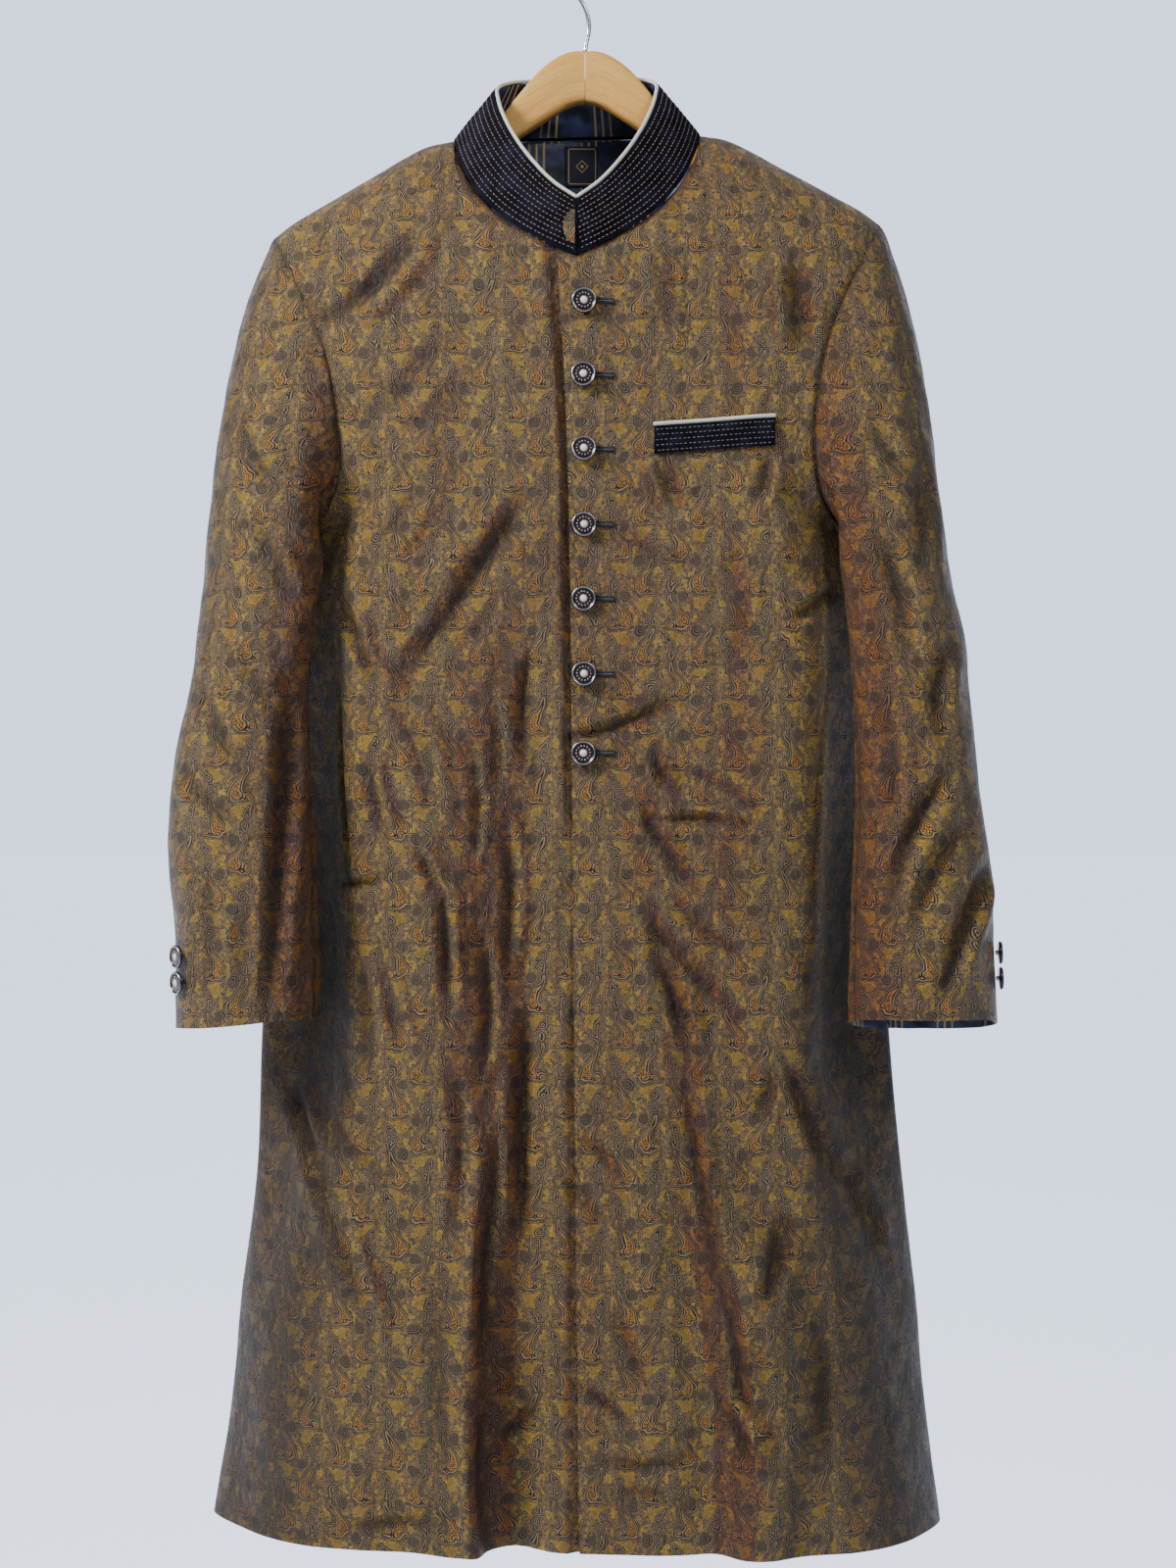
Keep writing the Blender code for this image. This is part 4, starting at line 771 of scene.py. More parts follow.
class Paint:
    """A material in the making: its node tree, its shader and helpers to reach it."""

    def __init__(self, name, roughness):
        self.material = bpy.data.materials.new(name)
        self.material.use_nodes = True
        self.tree = self.material.node_tree
        self.link = self.tree.links.new
        self.shader = self.tree.nodes["Principled BSDF"]
        self.set(Roughness=roughness)

    def set(self, **values):
        for name, value in values.items():
            self.shader.inputs[name.replace("_", " ")].default_value = value

    def done(self, **values):
        self.set(**values)
        return self.material

    def node(self, kind, source=None, inputs=None, **settings):
        """A new node with its settings, its first link and the values of its named inputs."""
        node = self.tree.nodes.new(kind)
        for name, value in settings.items():
            setattr(node, name, value)
        if source is not None:
            self.link(source, node.inputs[0])
        for name, value in (inputs or {}).items():
            node.inputs[name].default_value = value
        return node

    def number(self, socket):
        return Number(self.tree, socket)

    def uv(self):
        """Two numbers: metres across and along the cloth."""
        place = self.node("ShaderNodeUVMap", uv_map="cloth")
        split = self.node("ShaderNodeSeparateXYZ", place.outputs["UV"])
        return self.number(split.outputs[0]), self.number(split.outputs[1])

    def place(self):
        return self.node("ShaderNodeTexCoord").outputs["Object"]

    def vector(self, x, y):
        node = self.node("ShaderNodeCombineXYZ")
        for slot, value in zip(node.inputs, (x, y)):
            self.link(value.socket, slot)
        return node.outputs[0]

    def distance(self, vector, x, y):
        node = self.node("ShaderNodeVectorMath", vector, operation="DISTANCE")
        node.inputs[1].default_value = (x, y, 0.0)
        return self.number(node.outputs["Value"])

    def noise_node(self, vector, scale, detail, roughness, dimensions):
        values = {"Scale": scale, "Detail": detail, "Roughness": roughness}
        return self.node("ShaderNodeTexNoise", vector, values, noise_dimensions=dimensions)

    def noise(self, vector, scale, detail, roughness=0.5, dimensions="2D"):
        node = self.noise_node(vector, scale, detail, roughness, dimensions)
        return self.number(node.outputs["Fac"])

    def cells(self, vector, scale):
        node = self.node("ShaderNodeTexVoronoi", vector, {"Scale": scale}, voronoi_dimensions="2D")
        return self.number(node.outputs["Distance"])

    def attribute(self, name):
        return self.number(self.node("ShaderNodeAttribute", attribute_name=name).outputs["Fac"])

    def mix(self, share, low, high, blend="MIX"):
        """A colour between two, each a fixed colour or the result of another mix."""
        node = self.node("ShaderNodeMix", data_type="RGBA", blend_type=blend)
        if isinstance(share, Number):
            self.link(share.socket, node.inputs["Factor"])
        else:
            node.inputs["Factor"].default_value = share
        for slot, value in zip((node.inputs[6], node.inputs[7]), (low, high)):
            if isinstance(value, tuple):
                slot.default_value = value
            else:
                self.link(value, slot)
        return node.outputs[2]

    def colour(self, socket):
        self.link(socket, self.shader.inputs["Base Color"])

    def rough(self, number):
        self.link(number.socket, self.shader.inputs["Roughness"])

    def bump(self, height, distance, strength, under=None):
        node = self.node("ShaderNodeBump", None, {"Distance": distance, "Strength": strength})
        self.link(height.socket, node.inputs["Height"])
        if under is not None:
            self.link(under, node.inputs["Normal"])
        self.link(node.outputs[0], self.shader.inputs["Normal"])
        return node.outputs[0]


# ---------------------------------------------------------------- the paisley brocade
MOTIF_WIDE = 0.022  # one column; its neighbour is mirrored and half a drop lower
MOTIF_TALL = 0.054
# The motif's round parts: millimetres across and down its cell, then a radius.
SMALL_LEAF = ((14.8, 8.6, 0.6), (14.2, 6.2, 1.3), (13.2, 3.9, 2.3))
BUD = ((17.6, 45.2, 0.6), (16.4, 47.6, 1.3), (15.0, 50.2, 2.1))
GOLD = ((8.6, 47.0, 4.4), (14.0, 43.6, 2.6), (0.6, 25.0, 2.8))
GOLD += ((21.0, 21.0, 3.4), (0.0, 5.4, 3.6), (21.6, 34.6, 2.2))
LINE_PITCH = 1.5  # between the nested outlines
LEAF_TOP, LEAF_FOOT = 12.5, 36.5
BULB = (7.4, 35.6)
ROSE = (5.2, 14.2)
WEAVE = 1350.0  # threads to the metre
PURPLE = srgb(104, 85, 80)
PURPLE_DARK = srgb(44, 32, 31)
OUTLINE = srgb(24, 15, 12)
PALE_LINE = srgb(186, 160, 124)
GROUND = srgb(146, 116, 55)
VEIN = srgb(226, 182, 58)
ORANGE = srgb(238, 176, 80)


def brocade():
    paint = Paint("brocade", 0.5)
    u, v = paint.uv()
    flat = paint.vector(u * MM, v * MM)
    drift = paint.noise_node(flat, 0.11, 0.0, 0.5, "2D").outputs["Color"]
    parts = paint.node("ShaderNodeSeparateColor", drift)
    drift_x, drift_y = (paint.number(parts.outputs[k]) - 0.5 for k in (0, 1))
    column = (drift_x * 0.0036 + u) * (1 / MOTIF_WIDE)
    odd = (column * 0.5).fract().step(0.499, 0.501)
    inside = column.fract()
    turned = odd.times_add(inside * -2.0 + 1.0, inside)
    fall = odd.times_add(0.5, (drift_y * 0.0036 + v) * (1 / MOTIF_TALL)).fract()
    x = turned * (MOTIF_WIDE * MM)
    y = fall * (-MOTIF_TALL * MM) + MOTIF_TALL * MM
    cell = paint.vector(x, y)
    margin = (x * -1.0).most(x - MOTIF_WIDE * MM).most((y * -1.0).most(y - MOTIF_TALL * MM))
    wander = paint.noise(flat, 0.34, 2.0, 0.55)
    curls = paint.noise(flat, 0.40, 1.0, 0.4)
    broad = paint.noise(paint.vector(u * 9.0, v * 3.2), 1.0, 2.0, 0.5)

    def union(rows, soft):
        whole = None
        for cx, cy, r in rows:
            disc = paint.distance(cell, cx, cy) - r
            whole = disc if whole is None else whole.join(disc, soft)
        return whole

    def whirl(cx, cy):
        """The angle round a place, which turns rings into a spiral."""
        return (y - cy).angle(x - cx)

    rings = 2 * math.pi / LINE_PITCH
    share = y.step(LEAF_TOP, LEAF_FOOT)
    middle = (share * math.pi * 1.15).cos().times_add(5.0, 10.4)
    half = share.power(1.3).times_add(4.1, 0.1)
    ribbon = (x - middle).abs().times_add(0.85, half * -1.0)
    ribbon = ribbon.most(y * -1.0 + LEAF_TOP).most(y - LEAF_FOOT)
    bulb = paint.distance(cell, *BULB) - 4.1
    volute = paint.distance(cell, 15.2, 36.4) - 2.7
    leaf = ribbon.join(bulb, 1.6).join(volute, 1.6)
    leaf = leaf.join(paint.distance(cell, 11.6, 38.6) - 1.3, 1.6)
    small = union(SMALL_LEAF, 2.2).join(union(BUD, 2.0), 0.5)
    gold = union(GOLD, 2.5) + (wander * 11.0 - 5.0)
    gold = gold.most(margin * 0.8 + wander * 7.0 - 1.4).most(leaf * -1.0 + 2.4)
    rose = paint.distance(cell, *ROSE)
    berries = (paint.cells(flat, 0.37) * (2 * math.pi * 2.1)).sin()

    # The ground: purple grey full of little curls, with old gold patches edged by yellow veins.
    curl_lines = (curls * 64.0).sin()
    ground = paint.mix(berries.step(0.1, 0.9) * 0.60, PURPLE, PALE_LINE)
    ground = paint.mix(berries.step(-0.1, -0.8) * 0.85, ground, PURPLE_DARK)
    on_gold = gold.step(0.55, -0.55)
    glow = paint.mix(curl_lines.step(-0.2, 1.0) * 0.6, GROUND, VEIN)
    glow = paint.mix(curl_lines.step(-0.55, -0.95) * 0.7, glow, PURPLE)
    ground = paint.mix(on_gold, ground, glow)
    ground = paint.mix(gold.line(0.5, 0.60), ground, VEIN)
    ground = paint.mix(wander.line(0.5, 0.024) * 0.85, ground, VEIN)
    ground = paint.mix(wander.line(0.40, 0.018) * 0.6, ground, VEIN)
    ground = paint.mix(leaf.line(2.4, 0.8) * 0.5, ground, PURPLE_DARK)

    # The rosette winds in a spiral; the small leaves have a pale heart.
    rose_in = rose.step(4.6, 4.2)
    rose_lines = (rose * rings + whirl(*ROSE)).sin()
    rosette = paint.mix(rose_lines.step(-0.1, 0.8) * 0.6, PURPLE_DARK, PALE_LINE)
    ground = paint.mix(rose_in, ground, rosette)
    small_in = small.step(1.5, 1.2)
    small_lines = (small * rings).sin()
    small_leaf = paint.mix(small_lines.step(-0.2, 0.6) * 0.9, OUTLINE, PALE_LINE)
    ground = paint.mix(small_in, ground, small_leaf)

    # The large leaf in nested outlines, warmer towards its heart.
    turn = whirl(*BULB) * bulb.step(0.3, -0.4)
    lines = (leaf * rings + turn).sin()
    bright = paint.mix(leaf.step(0.2, -1.8), PALE_LINE, ORANGE)
    leaf_colour = paint.mix(lines.step(-0.30, 0.50), OUTLINE, bright)
    flecks = (paint.cells(flat, 0.50) * (2 * math.pi * 1.6)).sin()
    heart = paint.mix(flecks.step(-0.5, 0.6), PURPLE_DARK, ORANGE)
    leaf_colour = paint.mix(leaf.step(-1.1, -1.5) * 0.8, leaf_colour, heart)
    leaf_in = leaf.step(1.9, 1.6)
    pattern = paint.mix(leaf_in, ground, leaf_colour)

    # Two-colour warp and weft, with painted shade: the cloth turns from olive gold to a darker copper
    # brown on its slopes that turn to the coat's middle or face down.
    shot = paint.attribute("shot") + (broad - 0.5) * 1.3
    warm = paint.mix(1.0, pattern, (0.40, 0.265, 0.225, 1.0), "MULTIPLY")
    olive = paint.mix(1.0, pattern, (0.60, 0.575, 0.49, 1.0), "MULTIPLY")
    tone = paint.mix(shot.step(0.10, 0.95), olive, warm)
    # Painted shade: darker where the mesh's shade attribute marks deep creases, seams and side strips
    # turned away from the lamps.
    dark = paint.mix(1.0, tone, (0.40, 0.37, 0.36, 1.0), "MULTIPLY")
    paint.colour(paint.mix(paint.attribute("hollow").step(0.0, 1.0), tone, dark))

    weave = (u * (2 * math.pi * WEAVE)).sin() * (v * (2 * math.pi * WEAVE)).sin()
    raised = lines * leaf_in * 0.6 + leaf_in * 0.5 + curl_lines * 0.22
    raised = raised + on_gold * 0.3 + rose_lines * rose_in * 0.3
    first = paint.bump(raised + weave * 0.18, 0.00050, 0.9)
    crumple = paint.noise(paint.vector(u * 52.0, v * 34.0), 1.0, 3.0, 0.55)
    paint.bump(crumple, 0.0065, 0.85, first)
    paint.rough((on_gold + leaf_in * 0.5).times_add(-0.10, 0.42))
    sheen = dict(Sheen_Weight=0.03, Sheen_Roughness=0.35, Sheen_Tint=srgb(200, 180, 165))
    return paint.done(Specular_IOR_Level=0.38, **sheen)


def velvet():
    paint = Paint("velvet", 0.92)
    u, v = paint.uv()
    flat = paint.vector(u * MM, v * MM)
    nap = paint.noise(flat, 0.9, 3.0, 0.6)
    brushed = paint.noise(flat, 0.06, 2.0, 0.5)
    base = paint.mix(nap, srgb(3, 3, 9), srgb(11, 11, 22))
    paint.colour(paint.mix(brushed.step(0.42, 0.66) * 0.5, base, srgb(30, 30, 46)))
    paint.bump(nap, 0.0005, 0.5)
    sheen = dict(Sheen_Weight=0.10, Sheen_Roughness=0.35, Sheen_Tint=srgb(110, 114, 150))
    return paint.done(Specular_IOR_Level=0.12, **sheen)


STRIPE_GROUP = 0.043  # from one group of three stripes to the next
STRIPE_PITCH = 0.006
STRIPE_HALF = 0.0009


def striped_lining():
    paint = Paint("striped_lining", 0.34)
    u, v = paint.uv()
    flat = paint.vector(u * MM, v * MM)
    across = ((u * (1 / STRIPE_GROUP)).fract() - 0.5) * STRIPE_GROUP
    near = (across / STRIPE_PITCH + 0.5).fract() - 0.5
    stripe = (near * STRIPE_PITCH).line(0.0, STRIPE_HALF * 1.3)
    three = across.abs().step(STRIPE_PITCH * 1.6, STRIPE_PITCH * 1.5)
    # Painted sheen: lighter blue patches at random places stand for the satin's sheen.
    painted_sheen_patches = paint.noise(flat, 0.055, 2.0, 0.5)
    base = paint.mix(painted_sheen_patches.step(0.40, 0.66), srgb(17, 20, 34), srgb(52, 64, 98))
    twill = ((u + v) * (2 * math.pi * 900.0)).sin()
    paint.colour(paint.mix(stripe * three, base, srgb(186, 156, 104)))
    paint.bump(twill * 0.3 + painted_sheen_patches * 3.0, 0.0004, 0.6)
    return paint.done(Sheen_Weight=0.15, Sheen_Roughness=0.4, Sheen_Tint=srgb(150, 165, 210))


def cord():
    paint = Paint("cream_cord", 0.38)
    u, v = paint.uv()
    twist = ((v + u * 0.6) * (2 * math.pi / 0.0016)).sin()
    age = paint.noise(paint.vector(u * MM, v * MM), 0.2, 2.0, 0.5)
    base = paint.mix(twist.step(-0.6, 0.6), srgb(206, 203, 178), srgb(240, 238, 220))
    paint.colour(paint.mix(age.step(0.35, 0.75) * 0.25, base, srgb(196, 190, 160)))
    paint.bump(twist, 0.00018, 0.7)
    return paint.done(Sheen_Weight=0.2, Sheen_Roughness=0.4)


LABEL_WIDE = 0.0265
LABEL_TALL = 0.0330
BORDER_IN = 0.0022  # from the label's edge to the middle of its border


def label_cloth():
    """A bare dark label with a plain border and one small lozenge."""
    paint = Paint("label_cloth", 0.6)
    u, v = paint.uv()
    across, down = u.abs(), (v + LABEL_TALL * 0.5).abs()
    past_side, past_edge = across - LABEL_WIDE * 0.5, down - LABEL_TALL * 0.5
    side, edge = ((past + BORDER_IN).abs().step(0.0005, 0.0003) for past in (past_side, past_edge))
    within, low = ((past + 0.0028).step(0.0003, 0.0) for past in (past_side, past_edge))
    lozenge = across + down
    mark = lozenge.line(0.0048, 0.0006).most(lozenge.step(0.0018, 0.0014))
    border = (side * low).most(edge * within).most(mark)
    ribs = (v * (2 * math.pi * 1500.0)).sin()
    base = paint.mix(ribs.step(-1.0, 1.0), srgb(18, 20, 36), srgb(28, 30, 50))
    paint.colour(paint.mix(border, base, srgb(190, 165, 110)))
    paint.bump(ribs + border * 2.0, 0.0001, 0.5)
    return paint.material


def pale_wood():
    paint = Paint("pale_wood", 0.33)
    u, v = paint.uv()
    drift = paint.noise(paint.vector(u * 60.0, v * 7.0), 1.0, 3.0, 0.6)
    streak = paint.noise(paint.vector((u + drift * 0.004) * 1100.0, v * 16.0), 1.0, 3.0, 0.7)
    pores = paint.noise(paint.vector(u * 2600.0, v * 90.0), 1.0, 1.0, 0.5)
    base = paint.mix(drift.step(0.3, 0.7), srgb(222, 162, 74), srgb(238, 188, 98))
    base = paint.mix(streak.step(0.46, 0.70) * 0.75, base, srgb(200, 138, 66))
    paint.colour(paint.mix(pores.step(0.62, 0.75) * 0.5, base, srgb(160, 108, 56)))
    paint.bump(streak + pores * 0.5, 0.0002, 0.35)
    return paint.done(Coat_Weight=0.35, Coat_Roughness=0.18)


def metal(name, colour, roughness):
    paint = Paint(name, roughness)
    scuff = paint.noise(paint.place(), 260.0, 3.0, 0.6, "3D")
    dull = tuple(0.72 * c for c in colour[:3]) + (1.0,)
    paint.colour(paint.mix(scuff.step(0.35, 0.7), colour, dull))
    paint.rough(scuff.times_add(0.25, roughness - 0.1))
    paint.bump(scuff, 0.00008, 0.4)
    return paint.done(Metallic=1.0)


def speckled(name, roughness, specks, span, colours, bump, **values):
    """A hard or spun thing in two shades. specks is the noise's scale and detail."""
    paint = Paint(name, roughness)
    grain = paint.noise(paint.place(), *specks, dimensions="3D")
    paint.colour(paint.mix(grain.step(*span), *colours))
    paint.bump(grain, *bump)
    return paint.done(**values)


def thread(name, light, dark):
    return speckled(name, 0.55, (900.0, 1.0), (0.35, 0.65), (dark, light), (0.0001, 0.4))


BROCADE = brocade()
VELVET = velvet()
LINING = striped_lining()
CORD = cord()
THREAD_PINK = thread("thread_pink", srgb(192, 158, 140), srgb(150, 118, 104))
THREAD_GREY = thread("thread_grey", srgb(158, 148, 136), srgb(112, 104, 98))
LABEL = label_cloth()
WOOD = pale_wood()
WIRE = metal("hook_wire", srgb(206, 207, 210), 0.24)
RIM = metal("button_rim", srgb(196, 188, 182), 0.26)
DARK = (srgb(10, 8, 12), srgb(30, 22, 28))
GLAZE = dict(Coat_Weight=0.6, Coat_Roughness=0.12)
ENAMEL = speckled("dark_enamel", 0.24, (420.0, 2.0), (0.4, 0.7), DARK, (0.00008, 0.5), **GLAZE)
CREAM = (srgb(236, 226, 196), srgb(250, 246, 230))
LUSTRE = dict(Coat_Weight=0.7, Coat_Roughness=0.08)
PEARL = speckled("pearl", 0.22, (300.0, 1.0), (0.4, 0.6), CREAM, (0.00005, 0.3), **LUSTRE)
PINK = (srgb(120, 78, 84), srgb(184, 140, 136))
POLISH = dict(Coat_Weight=1.0, Coat_Roughness=0.03, Specular_IOR_Level=0.9)
STONE = speckled("pink_stone", 0.12, (500.0, 1.0), (0.35, 0.65), PINK, (0.00005, 0.2), **POLISH)


# ---------------------------------------------------------------- the cloth's grain
def settle(start, across, down, weight_across, weight_down, rounds=400):
    """The grid of numbers whose steps come nearest to the wanted ones."""

    def spread(a, b):
        out = np.zeros_like(start)
        out[:, 1:] += a
        out[:, :-1] -= a
        out[1:] += b
        out[:-1] -= b
        return out

    def pull(x):
        return spread(weight_across * np.diff(x, axis=1), weight_down * np.diff(x, axis=0))

    goal = spread(weight_across * across, weight_down * down)
    x = start.copy()
    left = goal - pull(x)
    go = left.copy()
    size = (left * left).sum()
    for _ in range(rounds):
        if size < 1e-14:
            break
        pulled = pull(go)
        far = size / (go * pulled).sum()
        x += far * go
        left -= far * pulled
        new = (left * left).sum()
        go = left + (new / size) * go
        size = new
    return x


def grain_uv(grid, n, anchor):
    """Metres across and up the cloth, its straight grain hanging as near to upright as it can."""
    up = np.array([0.0, 0.0, 1.0]) - n[..., 2:] * n
    weight = (up**2).sum(axis=2)
    up = unit(up)
    over = np.cross(up, n)
    across, down = np.diff(grid, axis=1), np.diff(grid, axis=0)
    result = []
    weights = 0.02 + (weight[:, 1:] + weight[:, :-1]) / 2, 0.02 + (weight[1:] + weight[:-1]) / 2
    for way in (over, up):
        a = (across * (way[:, 1:] + way[:, :-1])).sum(axis=2) / 2
        b = (down * (way[1:] + way[:-1])).sum(axis=2) / 2
        start = np.zeros(grid.shape[:2])
        middle = grid.shape[0] // 3
        start[middle, 1:] = np.cumsum(a[middle])
        start[middle + 1 :] = start[middle] + np.cumsum(b[middle:], axis=0)
        start[:middle] = (start[middle] - np.cumsum(b[:middle][::-1], axis=0))[::-1]
        result.append(settle(start, a, b, *weights))
    u, v = result
    spot = np.argmin(np.linalg.norm(grid - np.asarray(anchor[0]), axis=2))
    i, j = np.unravel_index(spot, u.shape)
    return np.stack([u - u[i, j] + anchor[1], v - v[i, j] + anchor[2]], axis=-1)


# ---------------------------------------------------------------- the body's panels
ROW_STEP = 0.0036
COLUMN_STEP = 0.0034
BACK_COLUMN_STEP = 0.0048
LOWER_COUNT = int((PATCH_Z - HEM_Z) / ROW_STEP)
UPPER_COUNT = int(0.37 / ROW_STEP)
SIDE_COUNT = 10


def heights(step):
    """Heights of the rows, every so many; and the row from which the outer edge is the armhole."""
    lower = np.linspace(0, 1, LOWER_COUNT // step)
    beside = 1 + SIDE_SHARE * np.linspace(0, 1, SIDE_COUNT // step + 1)[1:]
    above = 1 + SIDE_SHARE + (1 - SIDE_SHARE) * np.linspace(0, 1, UPPER_COUNT // step)[1:]
    return np.concatenate([lower, beside, above]), len(lower) + len(beside) - 1


def half_shares(count):
    """Even shares of the half width, with one column exactly at the neck point."""
    neck = int(round(count * NECK_SHARE))
    inner = np.linspace(0, NECK_SHARE, neck + 1)
    return np.concatenate([inner, np.linspace(NECK_SHARE, 1, count - neck + 1)[1:]])


def armhole_inward(points, side):
    return unit(ARMHOLE_CENTRE * np.array([side, 1.0, 1.0]) - points)


DITCH_DEEP = 0.0016
DITCH_WIDE = 0.0028
CREASE_GAIN = 2.1
SOFT_GAIN = 1.8
SEAM_CALM = 0.012  # relief fades out this near a seam, so that both of its sides agree
NECK_POINT_X = 0.0985
DARK_DEPTH = 0.0040  # a crease this deep gets the darkest painted shade
INSIDE = WALL * 0.9


def shot_and_shade_of(grid, outward):
    """Shot colour with painted shade: 0 where the cloth faces out or away from the coat's middle, to 1
    where it turns to it, and higher where it faces down.
    """
    n = normals_of(grid, outward)
    lean = -n[:, :, 0] * np.tanh(grid[:, :, 0] / 0.035)
    return np.clip(0.28 + 4.2 * lean, 0, 1.3) + 0.25 * np.clip(-n[:, :, 2] * 2.0, 0, 1)


def relief(grid, n, outward, soft, rows, darts, seed):
    """How far soft folds, creases, darts and unevenness sink a panel along its normals."""
    x, z = grid[:, :, 0], grid[:, :, 2]
    facing = smoothstep(0.10, 0.75, (n * outward).sum(axis=2))
    folded = creases(rows, x, z) * CREASE_GAIN * facing
    for dart_rows in darts:
        folded = folded + creases(dart_rows, x, z)
    sink = folded - drape(soft, x, z) * SOFT_GAIN * facing
    low = smoothstep(-0.30, -0.75, z)
    sink += ripple(x, z, seed, 0.055, 1.5) * (0.0007 + 0.0008 * low)
    sink += ripple(x, z, seed + 7.3, 0.021, 1.3) * (0.00035 + 0.00035 * low)
    return sink, folded


def panel(node, flat, outward, seams, underarm, soft, rows, darts, seed):
    """Adds the cloth's relief to a body panel, and closes it with its lining."""
    n = normals_of(flat, outward)
    uv = grain_uv(flat, n, ((0.0, flat[0, len(flat[0]) // 2, 1], -0.9), 0.0, -0.9))
    gaps = [np.linalg.norm(flat - flat[-1:], axis=2)]
    gaps += [np.linalg.norm(flat - flat[:, [c]], axis=2) for c, _ in seams]
    nearest = np.min(gaps, axis=0)
    sink, folded = relief(flat, n, outward, soft, rows, darts, seed)
    sink *= smoothstep(0.0, SEAM_CALM, nearest)
    seam = np.exp(-((nearest / DITCH_WIDE) ** 2))
    sink += DITCH_DEEP * seam
    way = -n
    for column, side in seams:
        way[:underarm, column] = np.array([-side, 0.0, 0.0])
        way[underarm:, column] = armhole_inward(flat[underarm:, column], side)
    shoulder = np.flatnonzero(np.abs(flat[-1, :, 0]) >= NECK_POINT_X)
    way[-1, shoulder] = np.array([0.0, 0.0, -1.0])
    grid = flat + sink[:, :, None] * way
    inward = -normals_of(grid, outward)
    fixed = [c for c, _ in seams]
    inward[:, fixed] = way[:, fixed]
    inward[-1, shoulder] = way[-1, shoulder]
    inner = grid + INSIDE * inward
    # Painted shade, stored on the mesh: darker in deep creases, along the seams and on the lower side
    # strips that turn outward, away from the lamps.
    edge_on = smoothstep(0.14, 0.60, n[:, :, 0] * np.sign(flat[:, :, 0]))
    edge_on = edge_on * smoothstep(-0.62, -0.90, flat[:, :, 2])
    hollow = np.clip(folded / DARK_DEPTH, 0, 1) + 0.8 * seam + 1.1 * edge_on
    # The shot colour also paints shade: darker copper on slopes turned to the coat's middle or downward.
    shades = {"shot": shot_and_shade_of(grid, outward), "hollow": hollow}
    both = world(grid), world(inner)
    return wall_piece(f"{node}_cloth", node, *both, uv, (BROCADE, LINING), "brocade", shades)


SHARES = half_shares(int(HALF_WIDTH / COLUMN_STEP))
FRONT = np.array([0.0, -1.0, 0.0])
REAR = np.array([0.0, 1.0, 0.0])
HEIGHTS, UNDERARM = heights(1)
EDGE_COLUMNS = 6
OVERLAP_STEP = 0.0040
FRONT_RELIEF = (SOFT_FRONT, FRONT_CREASES, (DART_CREASES,), 1.0)


def make_front_left():
    rows = []
    for height in HEIGHTS:
        inner = np.linspace(overlap_share(height), SHARES[EDGE_COLUMNS], 9)[:-1]
        rows.append(front_row(height, np.concatenate([inner, SHARES[EDGE_COLUMNS:]])))
    return panel("front_left", np.array(rows), FRONT, [(-1, 1.0)], UNDERARM, *FRONT_RELIEF)


def make_front_right():
    rows = []
    outer = -SHARES[::-1][: -EDGE_COLUMNS - 5]
    for height in HEIGHTS:
        edge = overlap_share(height)
        near = np.linspace(outer[-1], edge - 0.045, 5)[1:]
        step = np.linspace(edge - 0.045, edge - 0.008, 5)[1:]
        under = np.linspace(edge - 0.008, UNDERLAP_X / HALF_WIDTH, 7)[1:]
        signed = np.concatenate([outer, near, step, under])
        points = front_row(height, signed)
        points[:, 1] += OVERLAP_STEP * smoothstep(edge - 0.030, edge - 0.004, signed)
        rows.append(points)
    return panel("front_right", np.array(rows), FRONT, [(0, -1.0)], UNDERARM, *FRONT_RELIEF)


def make_back():
    rows_at, underarm = heights(2)
    shares = half_shares(int(HALF_WIDTH / BACK_COLUMN_STEP))
    rows = []
    for height in rows_at:
        left = body_row(height, shares[::-1], True, -1.0)
        right = body_row(height, shares, True, 1.0)
        rows.append(np.concatenate([left, right[1:]]))
    seams = [(0, -1.0), (-1, 1.0)]
    return panel("back", np.array(rows), REAR, seams, underarm, SOFT_BACK, BACK_CREASES, (), 23.0)


front_left = make_front_left()
front_right = make_front_right()
back = make_back()

# ---------------------------------------------------------------- sleeves
TOP_SHARES = np.linspace(0.125, 0.55, 43)
UNDER_SHARES = np.linspace(0.55, 1.125, 57)
HEAD_ROWS = np.linspace(0, 1, 80)
SLEEVE_ROWS = np.concatenate([HEAD_ROWS, 1 + np.linspace(0, 1, 95)[1:]])


def wrapped_normals(grid):
    """Outward normals of a grid whose last column meets its first."""
    around = np.concatenate([grid[:, -2:], grid, grid[:, :2]], axis=1)
    n = unit(np.cross(np.gradient(around, axis=0), np.gradient(around, axis=1))[:, 2:-2])
    centre = grid.mean(axis=1, keepdims=True)
    lower = len(HEAD_ROWS)
    return n * np.sign((n[lower:] * (grid - centre)[lower:]).sum())


def sleeve_relief(flat, n, side, seed):
    x, z = flat[:, :, 0], flat[:, :, 2]
    ahead = smoothstep(0.05, 0.65, -n[:, :, 1])
    behind = smoothstep(0.05, 0.65, n[:, :, 1])
    folded = creases(SLEEVE_CREASES, x, z) * CREASE_GAIN * ahead
    folded += creases(SLEEVE_CREASES, -x + 0.010 * side, z + 0.024) * CREASE_GAIN * behind
    around = np.arctan2(flat[:, :, 1] + 0.03, np.abs(x) - 0.25) * 0.055
    sink = folded + ripple(around, z, seed, 0.040, 1.4) * 0.0015
    sink += ripple(around, z, seed + 3.1, 0.017, 1.2) * 0.0006
    return sink, folded


